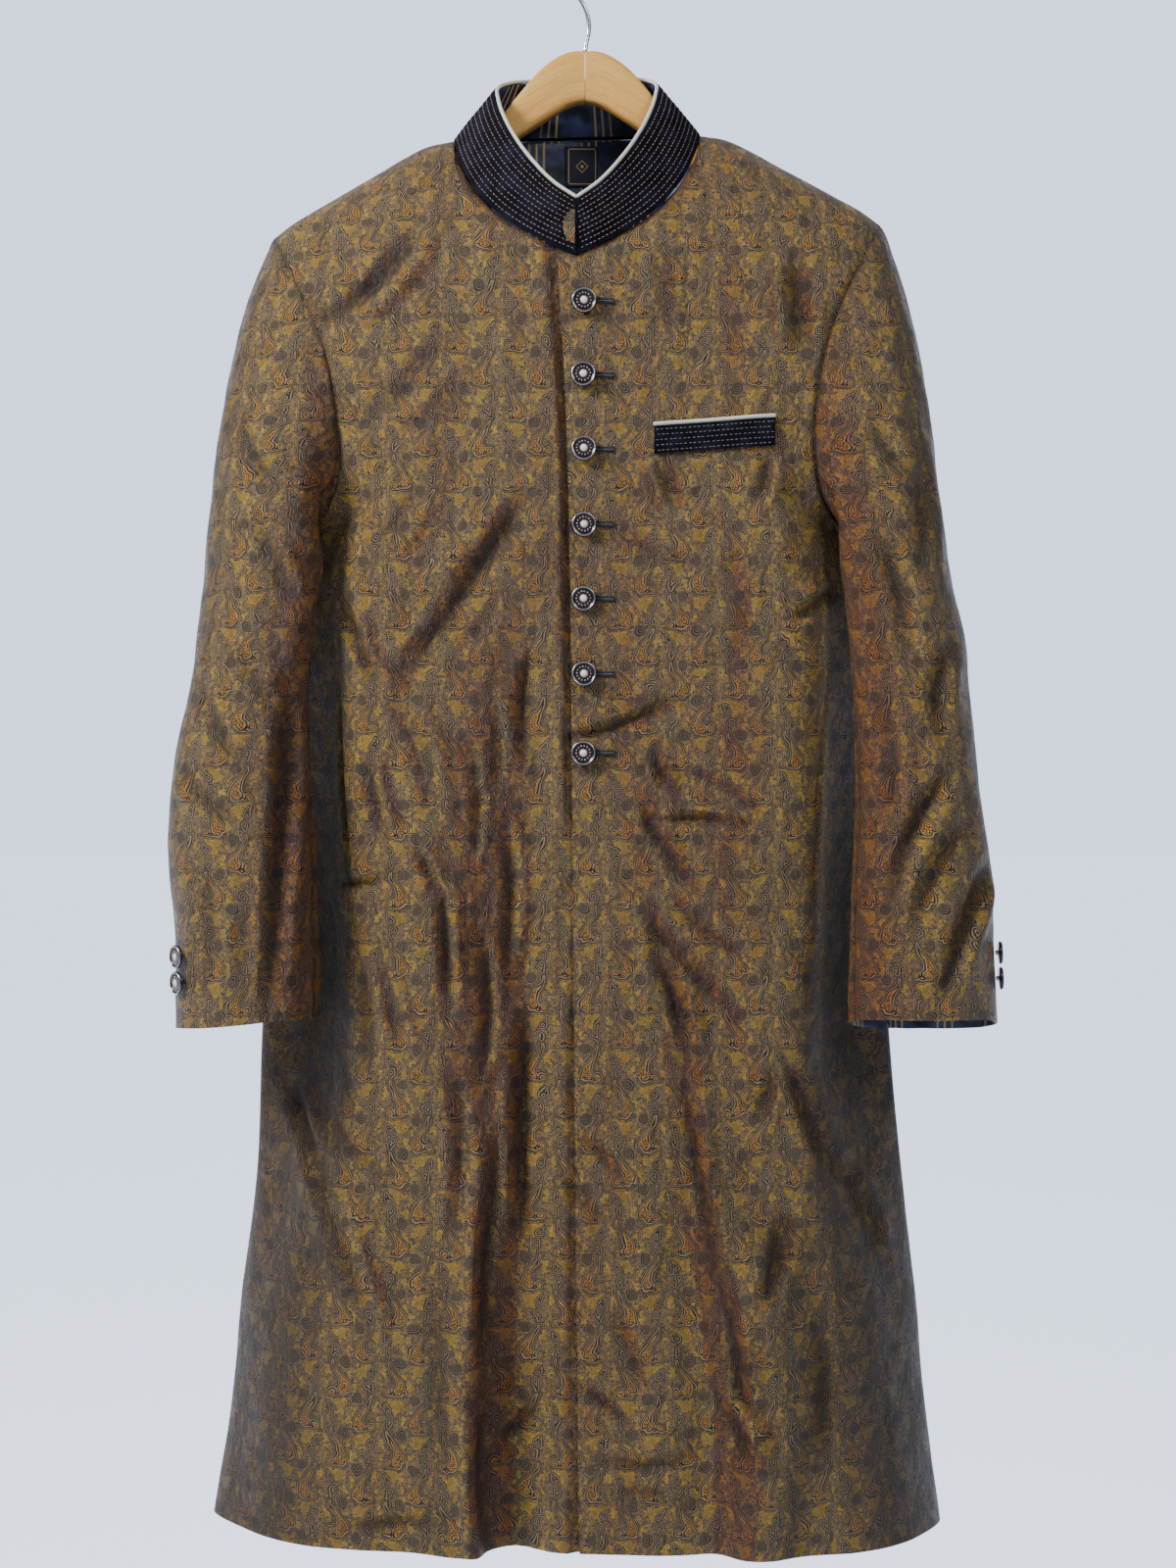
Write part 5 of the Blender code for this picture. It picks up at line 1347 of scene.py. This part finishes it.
def make_sleeve(side, name):
    shares = np.concatenate([TOP_SHARES, UNDER_SHARES[1:-1]])
    flat = np.array([sleeve_row(side, length, shares % 1.0) for length in SLEEVE_ROWS])
    n = wrapped_normals(flat)
    seams = (0, len(TOP_SHARES) - 1)
    gaps = [np.linalg.norm(flat - flat[:1], axis=2)]
    gaps += [np.linalg.norm(flat - flat[:, [c]], axis=2) for c in seams]
    sink, folded = sleeve_relief(flat, n, side, 40.0 + side * 9.0)
    sink *= smoothstep(0.0, SEAM_CALM, gaps[0])
    seam = np.exp(-((np.min(gaps, axis=0) / DITCH_WIDE) ** 2))
    sink += DITCH_DEEP * seam
    way = -n
    way[0] = armhole_inward(flat[0], side)
    grid = flat + sink[:, :, None] * way
    inward = -wrapped_normals(grid)
    inward[0] = way[0]
    inner = grid + INSIDE * inward
    # Shot colour with painted shade on the sleeves: darker copper where a forward-facing slope turns to
    # the coat's middle.
    lean = np.clip(0.30 - 1.5 * n[:, :, 0] * side, 0, 1.1) * smoothstep(-0.9, 0.2, -n[:, :, 1])
    # Painted shade on the sleeves: darker in creases, along the seams and where the sleeve turns outward.
    edge_on = smoothstep(0.40, 0.92, n[:, :, 0] * side)
    hollow = np.clip(folded / DARK_DEPTH, 0, 1) + 0.8 * seam + 0.7 * edge_on
    count = grid.shape[1]
    made = []
    for part, columns in (("top", range(seams[1] + 1)), ("under", range(seams[1], count + 1))):
        pick = [c % count for c in columns]
        middle = flat[len(flat) // 2, pick[len(pick) // 2]]
        uv = grain_uv(flat[:, pick], n[:, pick], (middle, 0.011 * side, middle[2]))
        node = f"{name}_{part}"
        both = world(grid[:, pick]), world(inner[:, pick])
        shades = {"shot": lean[:, pick], "hollow": hollow[:, pick]}
        made.append(wall_piece(f"{node}_cloth", node, *both, uv, (BROCADE, LINING), "brocade", shades))
    return made


sleeve_right_top, sleeve_right_under = make_sleeve(-1.0, "sleeve_right")
sleeve_left_top, sleeve_left_under = make_sleeve(1.0, "sleeve_left")


# ---------------------------------------------------------------- collar
COLLAR_CENTRE = np.array([0.0, -0.010, 0.0])
COLLAR_BULGE = 0.0012
NECK_LINE = np.concatenate([curve_of(NECK_FRONT), curve_of(NECK_BACK)[1:]])


def collar_line(rows, at):
    at = np.asarray(at, float)
    left = along(rows, np.clip(at * 2, 0, 1)) * np.array([-1.0, 1.0, 1.0])
    right = along(rows, np.clip(2 - at * 2, 0, 1))
    points = np.where((at <= 0.5)[:, None], left, right)
    points[:, 2] += HANG_TILT * points[:, 0]
    return points


def level(v):
    return v * np.array([1.0, 1.0, 0.0])


def collar_grid(at, up):
    low = collar_line(NECK_LINE, at)
    high = collar_line(curve_of(COLLAR_TOP), at)
    up = np.asarray(up, float)[:, None, None]
    grid = low + (high - low) * up
    return grid + unit(level(grid - COLLAR_CENTRE)) * COLLAR_BULGE * np.sin(math.pi * up)


def collar_inward(grid):
    n = unit(np.cross(np.gradient(grid, axis=0), np.gradient(grid, axis=1)))
    return -n * np.sign((n * level(grid - COLLAR_CENTRE)).sum())


def length_uv(grid):
    """Metres along and up a band, from its middle row's own length."""
    rise = np.linalg.norm(np.diff(grid, axis=0), axis=2)
    v = np.concatenate([np.zeros((1, grid.shape[1])), np.cumsum(rise, axis=0)])
    return np.stack(np.broadcast_arrays(run_of(grid[len(grid) // 2])[None], v), axis=-1)


def row_between(grid, share):
    """A row of a grid at a share of its height, and the number of the row below it."""
    at = share * (len(grid) - 1)
    low = int(at)
    return grid[low] * (1 - at + low) + grid[low + 1] * (at - low), low


BAND = np.linspace(0.0014, 0.9986, 221)
BAND_UP = np.linspace(0.015, 1.0, 19)
band = collar_grid(BAND, BAND_UP)
band_in = collar_inward(band)
band_sink = np.zeros(band.shape[:2])
for row, up in enumerate(BAND_UP):
    wobble = ripple(BAND * 0.43, np.full(len(BAND), up * 0.045), 61.0, 0.022)
    band_sink[row] = 0.0005 * wobble * np.sin(math.pi * up)
band = band + band_sink[:, :, None] * band_in
band_uv = length_uv(band)
both = world(band), world(band + COLLAR_WALL * band_in)
collar = wall_piece("collar_velvet", "collar", *both, band_uv, (VELVET,), "velvet")
skin = (band + (COLLAR_WALL + SKIN_GAP) * band_in)[1:, 4:-4]
both = world(skin), world(skin + COLLAR_LINING_WALL * band_in[1:, 4:-4])
skin_uv = band_uv[1:, 4:-4]
collar_lining = wall_piece("collar_inner_lining", "collar_lining", *both, skin_uv, (LINING,), "lining")
rim = collar_grid(BAND, [0.9, 1.0])
rim_up = unit(rim[1] - rim[0])
piping_line = world(rim[1] + rim_up * (PIPING_RADIUS + SKIN_GAP) + collar_inward(rim)[1] * 0.0018)
collar_piping = tube_piece("collar_cord", "collar_piping", piping_line, PIPING_RADIUS, CORD)

STITCH_LENGTH = 0.0025
STITCH_PITCH = 0.0036
STITCH_HALF = 0.00026
STITCH_LIFT = 0.00022
STITCH_ROWS = 10
WELT_STITCH_ROWS = 5


def stitches(name, lines, paint):
    """Running stitches along lines, each line (points, outward normals), as one mesh."""
    points, faces = [], []
    shift = 0.0
    for line, out in lines:
        run = run_of(line)
        shift = (shift + 0.37) % 1.0
        starts = np.arange(STITCH_PITCH * (0.2 + 0.6 * shift), run[-1] - STITCH_LENGTH, STITCH_PITCH)
        for k, begin in enumerate(starts):
            begin = begin + 0.0003 * math.sin(k * 2.3 + shift * 9)
            marks = begin + STITCH_LENGTH * np.array([0.0, 0.22, 0.78, 1.0])
            place = np.stack([np.interp(marks, run, line[:, a]) for a in range(3)], axis=1)
            up = unit(np.stack([np.interp(marks, run, out[:, a]) for a in range(3)], axis=1))
            side = unit(np.cross(place[-1] - place[0], up[1]))
            base = len(points)
            points.append(place[0] - up[0] * 0.0002)
            for m in (1, 2):
                centre = place[m] + up[m] * STITCH_LIFT
                for way in (side, up[m], -side, up[m] * -1.6):
                    points.append(centre + way * STITCH_HALF)
            points.append(place[3] - up[3] * 0.0002)
            for a in range(4):
                b = (a + 1) % 4
                faces.append((base, base + 1 + b, base + 1 + a))
                faces.append((base + 1 + a, base + 1 + b, base + 5 + b, base + 5 + a))
                faces.append((base + 9, base + 5 + a, base + 5 + b))
    return settle_in(new_mesh(name, points, faces, (paint,)))


collar_lines = []
for up in np.linspace(0.09, 0.93, STITCH_ROWS):
    line, low = row_between(band, up)
    collar_lines.append((world(line), -band_in[low]))
collar_stitches = stitches("collar_stitches", collar_lines, THREAD_PINK)


# ---------------------------------------------------------------- small cloth on the panels
def tree_of(obj):
    points = [v.co.copy() for v in obj.data.vertices]
    return BVHTree.FromPolygons(points, [tuple(p.vertices) for p in obj.data.polygons])


def front_of(tree, x, z):
    return tree.ray_cast(Vector((x, -1.0, z)), Vector((0.0, 1.0, 0.0)))[0].y


def behind(tree, x, z):
    hit = tree.ray_cast(Vector((x, 0.0, z)), Vector((0.0, 1.0, 0.0)))[0]
    return None if hit is None else hit.y


def shifted_uv(grid, x, z):
    return np.stack([grid[:, :, 0] + x, grid[:, :, 2] + z], axis=-1)


front_tree = tree_of(front_left)
across = np.linspace(0, 1, 48)
pocket_x = CENTRE_X + POCKET_INNER_X + (POCKET_OUTER_X - POCKET_INNER_X) * across
pocket_top = POCKET_TOP_Z + POCKET_RISE * across
CORD_ROOM = 0.0030  # the cord lies along the welt's upper edge
welt_down = np.linspace(0, 1, 11)[:, None]
welt = np.empty((len(welt_down), len(across), 3))
welt[:, :, 0] = pocket_x
welt[:, :, 2] = pocket_top - CORD_ROOM - (POCKET_HEIGHT - CORD_ROOM) * welt_down
welt[:, :, 1] = [[front_of(front_tree, x, z) for x, z in zip(pocket_x, row)] for row in welt[:, :, 2]]
welt[:, :, 1] -= 0.0006
welt_out = welt.copy()
welt_out[:, :, 1] -= 0.0016 + 0.0005 * np.sin(math.pi * welt_down)
both = welt_out, welt
welt_uv = length_uv(welt_out)
pocket_welt = wall_piece("pocket_welt_velvet", "pocket_welt", *both, welt_uv, (VELVET,), "velvet")
welt_lines = []
for down in np.linspace(0.12, 0.90, WELT_STITCH_ROWS):
    line = row_between(welt_out, down)[0]
    welt_lines.append((line, np.broadcast_to(FRONT, line.shape)))
pocket_stitches = stitches("pocket_stitches", welt_lines, THREAD_GREY)
pocket_line = []
for x, z in zip(pocket_x, pocket_top - 0.0010):
    pocket_line.append((x, front_of(front_tree, x, z) - PIPING_RADIUS - 0.0004, z))
pocket_cord = tube_piece("pocket_cord", "pocket_piping", pocket_line, PIPING_RADIUS, CORD)

TAB_WIDTH = 0.0090
TAB_HALF_HEIGHT = 0.0125
TAB_Z = -0.2440
TAB_RIGHT = CENTRE_X - 0.0012
collar_tree = tree_of(collar)
tab_rows = []
for k in np.linspace(-1, 1, 21):
    reach = TAB_WIDTH * math.sqrt(max(1 - k * k, 0.03))
    xs = np.linspace(TAB_RIGHT - reach, TAB_RIGHT, 8)
    z = TAB_Z - TAB_HALF_HEIGHT * k
    depth = min(front_of(collar_tree, x, z) for x in xs)
    tab_rows.append([(x, depth - 0.0006, z) for x in xs])
tab_in = np.array(tab_rows)
both = tab_in + FRONT * 0.0011, tab_in
tab_uv = shifted_uv(tab_in, 0.018, 0.006)
# A fixed share of the shot colour and its painted shade.
shades = {"shot": np.full(tab_in.shape[:2], 0.2)}
collar_tab = wall_piece("collar_tab_cloth", "collar_tab", *both, tab_uv, (BROCADE,), "brocade", shades)

LINING_HALF = 0.070
LINING_DROP = 0.120
LINING_SHEET = 0.0010
DEPTH_PAST_EDGE = 0.036
back_tree = tree_of(back)
neck_curve = along(curve_of(NECK_BACK)[::-1], np.linspace(0, 1, 60))
lining_x = np.linspace(-LINING_HALF, LINING_HALF, 41)
lining_top = np.interp(np.abs(lining_x), neck_curve[:, 0], neck_curve[:, 2]) - 0.0022
lining_rows = []
for t in np.linspace(0, 1, 34):
    row = []
    for x, z in zip(lining_x + CENTRE_X, lining_top - LINING_DROP * t + HANG_TILT * lining_x):
        depth = behind(back_tree, x, z)
        row.append((x, (DEPTH_PAST_EDGE if depth is None else depth) - SKIN_GAP - 0.0003, z))
    lining_rows.append(row)
lining_out = np.array(lining_rows)
both = lining_out, lining_out + FRONT * LINING_SHEET
lining_uv = shifted_uv(lining_out, 0.012 - CENTRE_X, 0.0)
back_lining = wall_piece("back_inner_lining", "back_lining", *both, lining_uv, (LINING,), "lining")

LABEL_X = CENTRE_X + 0.0040
LABEL_Z = -0.1480
lining_tree = tree_of(back_lining)
label_rows = []
for t in np.linspace(0, 1, 12):
    z = LABEL_Z - LABEL_TALL * t
    xs = LABEL_X + np.linspace(-0.5, 0.5, 12) * LABEL_WIDE
    depth = min(behind(lining_tree, x, z) for x in xs)
    label_rows.append([(x, depth - 0.0004, z) for x in xs])
label_out = np.array(label_rows)
both = label_out, label_out + FRONT * LINING_SHEET
label_uv = shifted_uv(label_out, -LABEL_X, -LABEL_Z)
label = wall_piece("neck_label_cloth", "neck_label", *both, label_uv, (LABEL,), "label")


# ---------------------------------------------------------------- buttons and buttonholes
class Parts:
    """Points and faces of several small solids, to be joined in one mesh."""

    def __init__(self):
        self.points, self.faces, self.kinds = [], [], []

    def rows_of_faces(self, base, rows, steps, kind, outward=True):
        """Quads between closed rings of points that follow each other."""
        for row in range(rows - 1):
            for k in range(steps):
                n = (k + 1) % steps
                a, b = base + row * steps, base + (row + 1) * steps
                quad = (a + k, a + n, b + n, b + k)
                self.faces.append(quad if outward else quad[:1] + quad[:0:-1])
                self.kinds.append(kind)

    def turned(self, outline, kind, steps=36, knurl=0.0):
        """A shape turned about its own axis; outline is (radius, height) from rim to middle."""
        base = len(self.points)
        for r, h in outline:
            for k in range(steps):
                angle = 2 * math.pi * k / steps
                grow = 1 + (knurl if k % 2 else 0.0)
                self.points.append((r * grow * math.cos(angle), r * grow * math.sin(angle), h))
        self.rows_of_faces(base, len(outline), steps, kind)

    def bead(self, centre, radius, kind, flat, rings=5, steps=9):
        cx, cy, cz = centre
        base = len(self.points)
        self.points.append((cx, cy, cz + radius * flat))
        for row in range(1, rings):
            tilt = math.pi * row / rings
            reach, height = radius * math.sin(tilt), cz + radius * flat * math.cos(tilt)
            for k in range(steps):
                angle = 2 * math.pi * k / steps
                self.points.append((cx + reach * math.cos(angle), cy + reach * math.sin(angle), height))
        self.points.append((cx, cy, cz - radius * flat))
        last = len(self.points) - 1
        self.rows_of_faces(base + 1, rings - 1, steps, kind, outward=False)
        for k in range(steps):
            n = (k + 1) % steps
            self.faces += [(base, base + 1 + k, base + 1 + n), (last - steps + n, last - steps + k, last)]
            self.kinds += [kind, kind]

    def bar(self, centre, size, kind):
        """A soft-edged little bar, longest along x."""
        base = len(self.points)
        sx, sy, sz = (s / 2 for s in size)
        sides = 8
        stations = ((-1.0, 0.55), (-0.94, 0.95), (0.0, 1.0), (0.94, 0.95), (1.0, 0.55))
        for reach, grow in stations:
            for a in np.arange(sides) * math.pi / 4 + math.pi / 8:
                c, s = (math.copysign(abs(w) ** 0.6, w) for w in (math.cos(a), math.sin(a)))
                place = (sx * reach, sy * grow * c, sz * grow * s)
                self.points.append(tuple(m + p for m, p in zip(centre, place)))
        self.rows_of_faces(base, len(stations), sides, kind, outward=False)
        last = base + (len(stations) - 1) * sides
        self.faces.append(tuple(range(base, base + sides)))
        self.faces.append(tuple(range(last, last + sides))[::-1])
        self.kinds += [kind, kind]


RIM_CENTRE, RIM_TUBE, RIM_HEIGHT = 0.0084, 0.0014, 0.0041
EDGE_CENTRE, EDGE_TUBE, EDGE_HEIGHT = 0.0087, 0.00055, 0.0053
DISH = ((0.0084, 0.0046), (0.0072, 0.0049), (0.0050, 0.0051), (0.0001, 0.0053))
FOOT = ((0.0001, 0.0), (0.0020, 0.0), (0.0022, 0.0022), (0.0060, 0.0023), (0.0088, 0.0032))
SETTING = ((0.0036, 0.0050), (0.0034, 0.0056), (0.0028, 0.0056), (0.0026, 0.0050))
STONES = 14
STONE_RING, STONE_HEIGHT, STONE_RADIUS = 0.0054, 0.0052, 0.00075


def button_parts():
    """One button; the kinds are 0 rim metal, 1 enamel, 2 pearl and 3 stone."""
    parts = Parts()
    angle = np.linspace(0, 2 * math.pi, 17)

    def cord_round(middle, height, tube, turns):
        return [(middle + tube * math.cos(a), height + tube * math.sin(a)) for a in turns]

    parts.turned(cord_round(RIM_CENTRE, RIM_HEIGHT, RIM_TUBE, angle), 1, 44, 0.012)
    parts.turned(cord_round(EDGE_CENTRE, EDGE_HEIGHT, EDGE_TUBE, angle[::2]), 0, 44, 0.010)
    parts.turned(DISH, 1)
    parts.turned(FOOT, 0)
    parts.turned(SETTING, 0)
    parts.bead((0.0, 0.0, 0.0050), 0.0027, 2, 0.52, 9, 18)
    for turn in np.arange(STONES) * 2 * math.pi / STONES:
        spot = (STONE_RING * math.cos(turn), STONE_RING * math.sin(turn), STONE_HEIGHT)
        parts.bead(spot, STONE_RADIUS, 3, 0.8)
    return parts


BUTTON = button_parts()
BUTTON_PAINTS = (RIM, ENAMEL, PEARL, STONE)


def add_button(node, radius, place, outward):
    points = np.array(BUTTON.points) * (radius / BUTTON_RADIUS)
    obj = new_mesh(f"{node}_detail", points, BUTTON.faces, BUTTON_PAINTS, BUTTON.kinds, sharp=50)
    obj.rotation_mode = "QUATERNION"
    spin = Vector((0.0, 0.0, 1.0)).rotation_difference(Vector(outward).normalized())
    own = Vector((0.0, 0.0, 1.0)).to_track_quat("Z", "Y")
    own.rotate(spin)
    obj.rotation_quaternion = own.normalized()
    obj.location = place
    settle_in(obj, node)


BINDING = thread("buttonhole_binding", srgb(26, 26, 38), srgb(12, 12, 20))
LEANS = ((0.05, -0.06), (-0.06, 0.03), (0.02, 0.07), (0.07, -0.02))
LEANS += ((-0.03, -0.05), (0.05, 0.05), (-0.05, 0.02))
LIP_HEIGHT = LOOP_HEIGHT * 0.47
LOOP = Parts()
for up in (-0.56, 0.56):
    LOOP.bar((0, 0, up * LIP_HEIGHT), (LOOP_LENGTH, 0.0014, LIP_HEIGHT), 0)
LOOP.bar((0, 0.0001, 0), (LOOP_LENGTH * 0.92, 0.0011, 0.00045), 1)
button_z = BUTTON_FIRST_Z - np.concatenate([[0], np.cumsum(BUTTON_STEPS)])
button_x = CENTRE_X + BUTTON_X
loop_x = button_x + 0.0090 + LOOP_LENGTH / 2
for number, z in enumerate(button_z, start=1):
    lean_x, lean_z = LEANS[number - 1]
    place = (button_x, front_of(front_tree, button_x, z) - 0.0003, z)
    add_button(f"button_{number}", BUTTON_RADIUS, place, (lean_x, -1.0, lean_z))
    ends = [front_of(front_tree, loop_x + k * LOOP_LENGTH, z) for k in (-0.5, 0.0, 0.5)]
    paints = (BINDING, THREAD_GREY)
    bar = new_mesh(f"loop_{number}_lips", LOOP.points, LOOP.faces, paints, LOOP.kinds)
    bar.location = (loop_x, min(ends) - 0.0006, z + 0.0003 * math.sin(number * 2.1))
    slant = math.atan2(ends[2] - ends[0], LOOP_LENGTH)
    bar.rotation_euler = (0.0, 0.02 * math.sin(number * 1.7), slant)
    settle_in(bar, f"loop_{number}")


def cuff_buttons(side, name, share):
    """share says where round the sleeve the buttons are."""
    rows = SLEEVE_RIGHT if side > 0 else SLEEVE_LEFT
    span = RING_Z - rows["z"][-1]
    for number, rise in enumerate(CUFF_BUTTON_STEPS, start=1):
        length = 2 - rise / span
        spots = sleeve_row(side, length, np.array([share - 0.02, share, share + 0.02]))
        over = sleeve_row(side, length - 0.03, np.array([share]))[0]
        outward = unit(np.cross(spots[2] - spots[0], over - spots[1]))
        middle = sleeve_row(side, length, np.linspace(0, 1, 20)).mean(axis=0)
        outward = outward * np.sign(np.dot(outward, spots[1] - middle))
        place = spots[1] + outward * 0.0002
        add_button(f"{name}_{number}", CUFF_BUTTON_RADIUS, world(place), outward)


cuff_buttons(-1.0, "cuff_button_right", 0.435)
cuff_buttons(1.0, "cuff_button_left", 0.492)

# ---------------------------------------------------------------- hanger
ARM = table(
    "x top bottom y half",
    (0.2, -82.8, -123.8, 4, 7), (11, -83.2, -126.2, 3.8, 7.2), (23, -88.5, -133, 3.2, 7.4),
    (36, -98.5, -141.5, 2.6, 7.4), (50, -114.5, -150.8, 1.8, 7.2), (66, -135, -162, 0.8, 7),
    (78, -150, -171.5, 0.2, 6.8), (92, -161, -180.5, -0.4, 6.6), (120, -170, -191.5, -1.2, 6.2),
    (150, -185, -205, -1.6, 6), (180, -201, -219, -2, 5.6), (201, -212, -227.5, -2.2, 5),
    (210, -218.5, -227, -2.2, 3),
)
ARM_ROUND = 28
ARM_ROWS = 90
SQUARE = 0.45  # how square the arm's section is; 1 is round


def make_arm(name, node, side):
    """A wooden arm with a mitred root, its grain along its length."""
    x = np.linspace(ARM["x"][0], ARM["x"][-1], ARM_ROWS)
    rows = {key: smooth(ARM["x"], ARM[key], x)[:, None] for key in ARM if key != "x"}
    turn = np.arange(ARM_ROUND + 1) * 2 * math.pi / ARM_ROUND
    round_y, round_z = (np.copysign(np.abs(w) ** SQUARE, w) for w in (np.cos(turn), np.sin(turn)))
    middle, tall = (rows["top"] + rows["bottom"]) / 2, (rows["top"] - rows["bottom"]) / 2
    grid = np.empty((ARM_ROWS, ARM_ROUND + 1, 3))
    grid[:, :, 0] = x[:, None] * side
    grid[:, :, 1] = rows["y"] + rows["half"] * round_y
    grid[:, :, 2] = middle + tall * round_z
    run = np.concatenate([[0], np.cumsum(np.hypot(np.diff(x), np.diff(rows["bottom"][:, 0])))])
    u = grid[:, :, 2] - rows["bottom"] + grid[:, :, 1] * 0.7 + side * 0.03
    uv = np.stack([u, np.broadcast_to(run[:, None], u.shape)], axis=-1).reshape(-1, 2)
    count = ARM_ROUND + 1
    faces = []
    for i in range(ARM_ROWS - 1):
        for j in range(ARM_ROUND):
            quad = (i * count + j, (i + 1) * count + j, (i + 1) * count + j + 1, i * count + j + 1)
            faces.append(quad if side > 0 else quad[::-1])
    for start in (0, (ARM_ROWS - 1) * count):
        faces.append(list(range(start, start + ARM_ROUND)))
    obj = new_mesh(name, grid.reshape(-1, 3), faces, (WOOD,), uv=uv, sharp=40)
    return settle_in(obj, node)


arm_right = make_arm("hanger_wood_right", "hanger_arm_right", -1.0)
arm_left = make_arm("hanger_wood_left", "hanger_arm_left", 1.0)

STEM_Y = 0.0040
STEM = table(
    "x z",
    (0, -82.2), (0.8, -76), (3, -66), (2.6, -56), (-2, -45),
)
stem = [(x, STEM_Y, z) for x, z in zip(STEM["x"], STEM["z"])]
bend = []
centre_z = WIRE_RADIUS - HOOK_RADIUS
for angle in np.linspace(math.radians(232), math.radians(-25), 22):
    bend.append((HOOK_RADIUS * math.cos(angle), 0.0, centre_z + HOOK_RADIUS * math.sin(angle)))
hook_path = along(np.array(stem + bend), np.linspace(0, 1, 120))
hook_path[:, 1] = STEM_Y * (1 - smoothstep(-0.070, -0.040, hook_path[:, 2]))
tube_piece("hook_wire_round", "hanger_hook", hook_path, WIRE_RADIUS, WIRE, 18)

# ---------------------------------------------------------------- floor, sky and lamps
FLOOR_Z = -1.95
FLOOR_HALF = 30.0
FLOOR_GLOW = 1.75  # the floor's own light, reached well behind the coat
SKY_LOW = 0.30  # the studio is dimmer before the coat than behind it
SKY_RISE = 1.75
SKY_TINT = srgb(214, 228, 253)
pale = Paint("pale_floor", 0.9)
mottle = pale.noise(pale.place(), 0.8, 2.0, dimensions="3D")
pale.colour(pale.mix(mottle, srgb(232, 236, 244), srgb(238, 241, 247)))
pale.set(Emission_Color=SKY_TINT)
inland = pale.node("ShaderNodeSeparateXYZ", pale.place())
glow = pale.number(inland.outputs[1]).step(0.2, 1.4) * FLOOR_GLOW
pale.link(glow.socket, pale.shader.inputs["Emission Strength"])
ends = (-FLOOR_HALF, FLOOR_HALF)
corners = [(x, y, FLOOR_Z) for y in ends for x in ends]
new_mesh("floor", corners, [(0, 1, 3, 2)], (pale.material,))

studio = bpy.data.worlds.new("studio")
studio.use_nodes = True
sky_tree = studio.node_tree
sky = sky_tree.nodes["Background"]
sky.inputs["Color"].default_value = SKY_TINT
heading = sky_tree.nodes.new("ShaderNodeTexCoord")
apart = sky_tree.nodes.new("ShaderNodeSeparateXYZ")
sky_tree.links.new(heading.outputs["Generated"], apart.inputs[0])
ahead = Number(sky_tree, apart.outputs[1]).step(0.62, 0.86)
sky_tree.links.new((ahead * SKY_RISE + SKY_LOW).socket, sky.inputs["Strength"])
bpy.context.scene.world = studio


def lamp(name, place, aim, size, power, tint):
    data = bpy.data.lights.new(name, "AREA")
    data.shape = "RECTANGLE"
    data.size = data.size_y = size
    data.energy = power
    data.color = tint
    obj = bpy.data.objects.new(name, data)
    obj.location = place
    obj.rotation_mode = "QUATERNION"
    obj.rotation_quaternion = (Vector(place) - Vector(aim)).to_track_quat("Z", "Y")
    bpy.context.scene.collection.objects.link(obj)


KEY_POWER, FILL_POWER = 112.0, 32.0
lamp("key", (-2.0, -1.15, 0.95), (0.0, 0.0, -0.6), 0.7, KEY_POWER, (0.97, 0.98, 1.0))
lamp("fill", (1.5, -2.0, 1.0), (0.0, 0.0, -0.7), 0.8, FILL_POWER, (0.96, 0.98, 1.0))
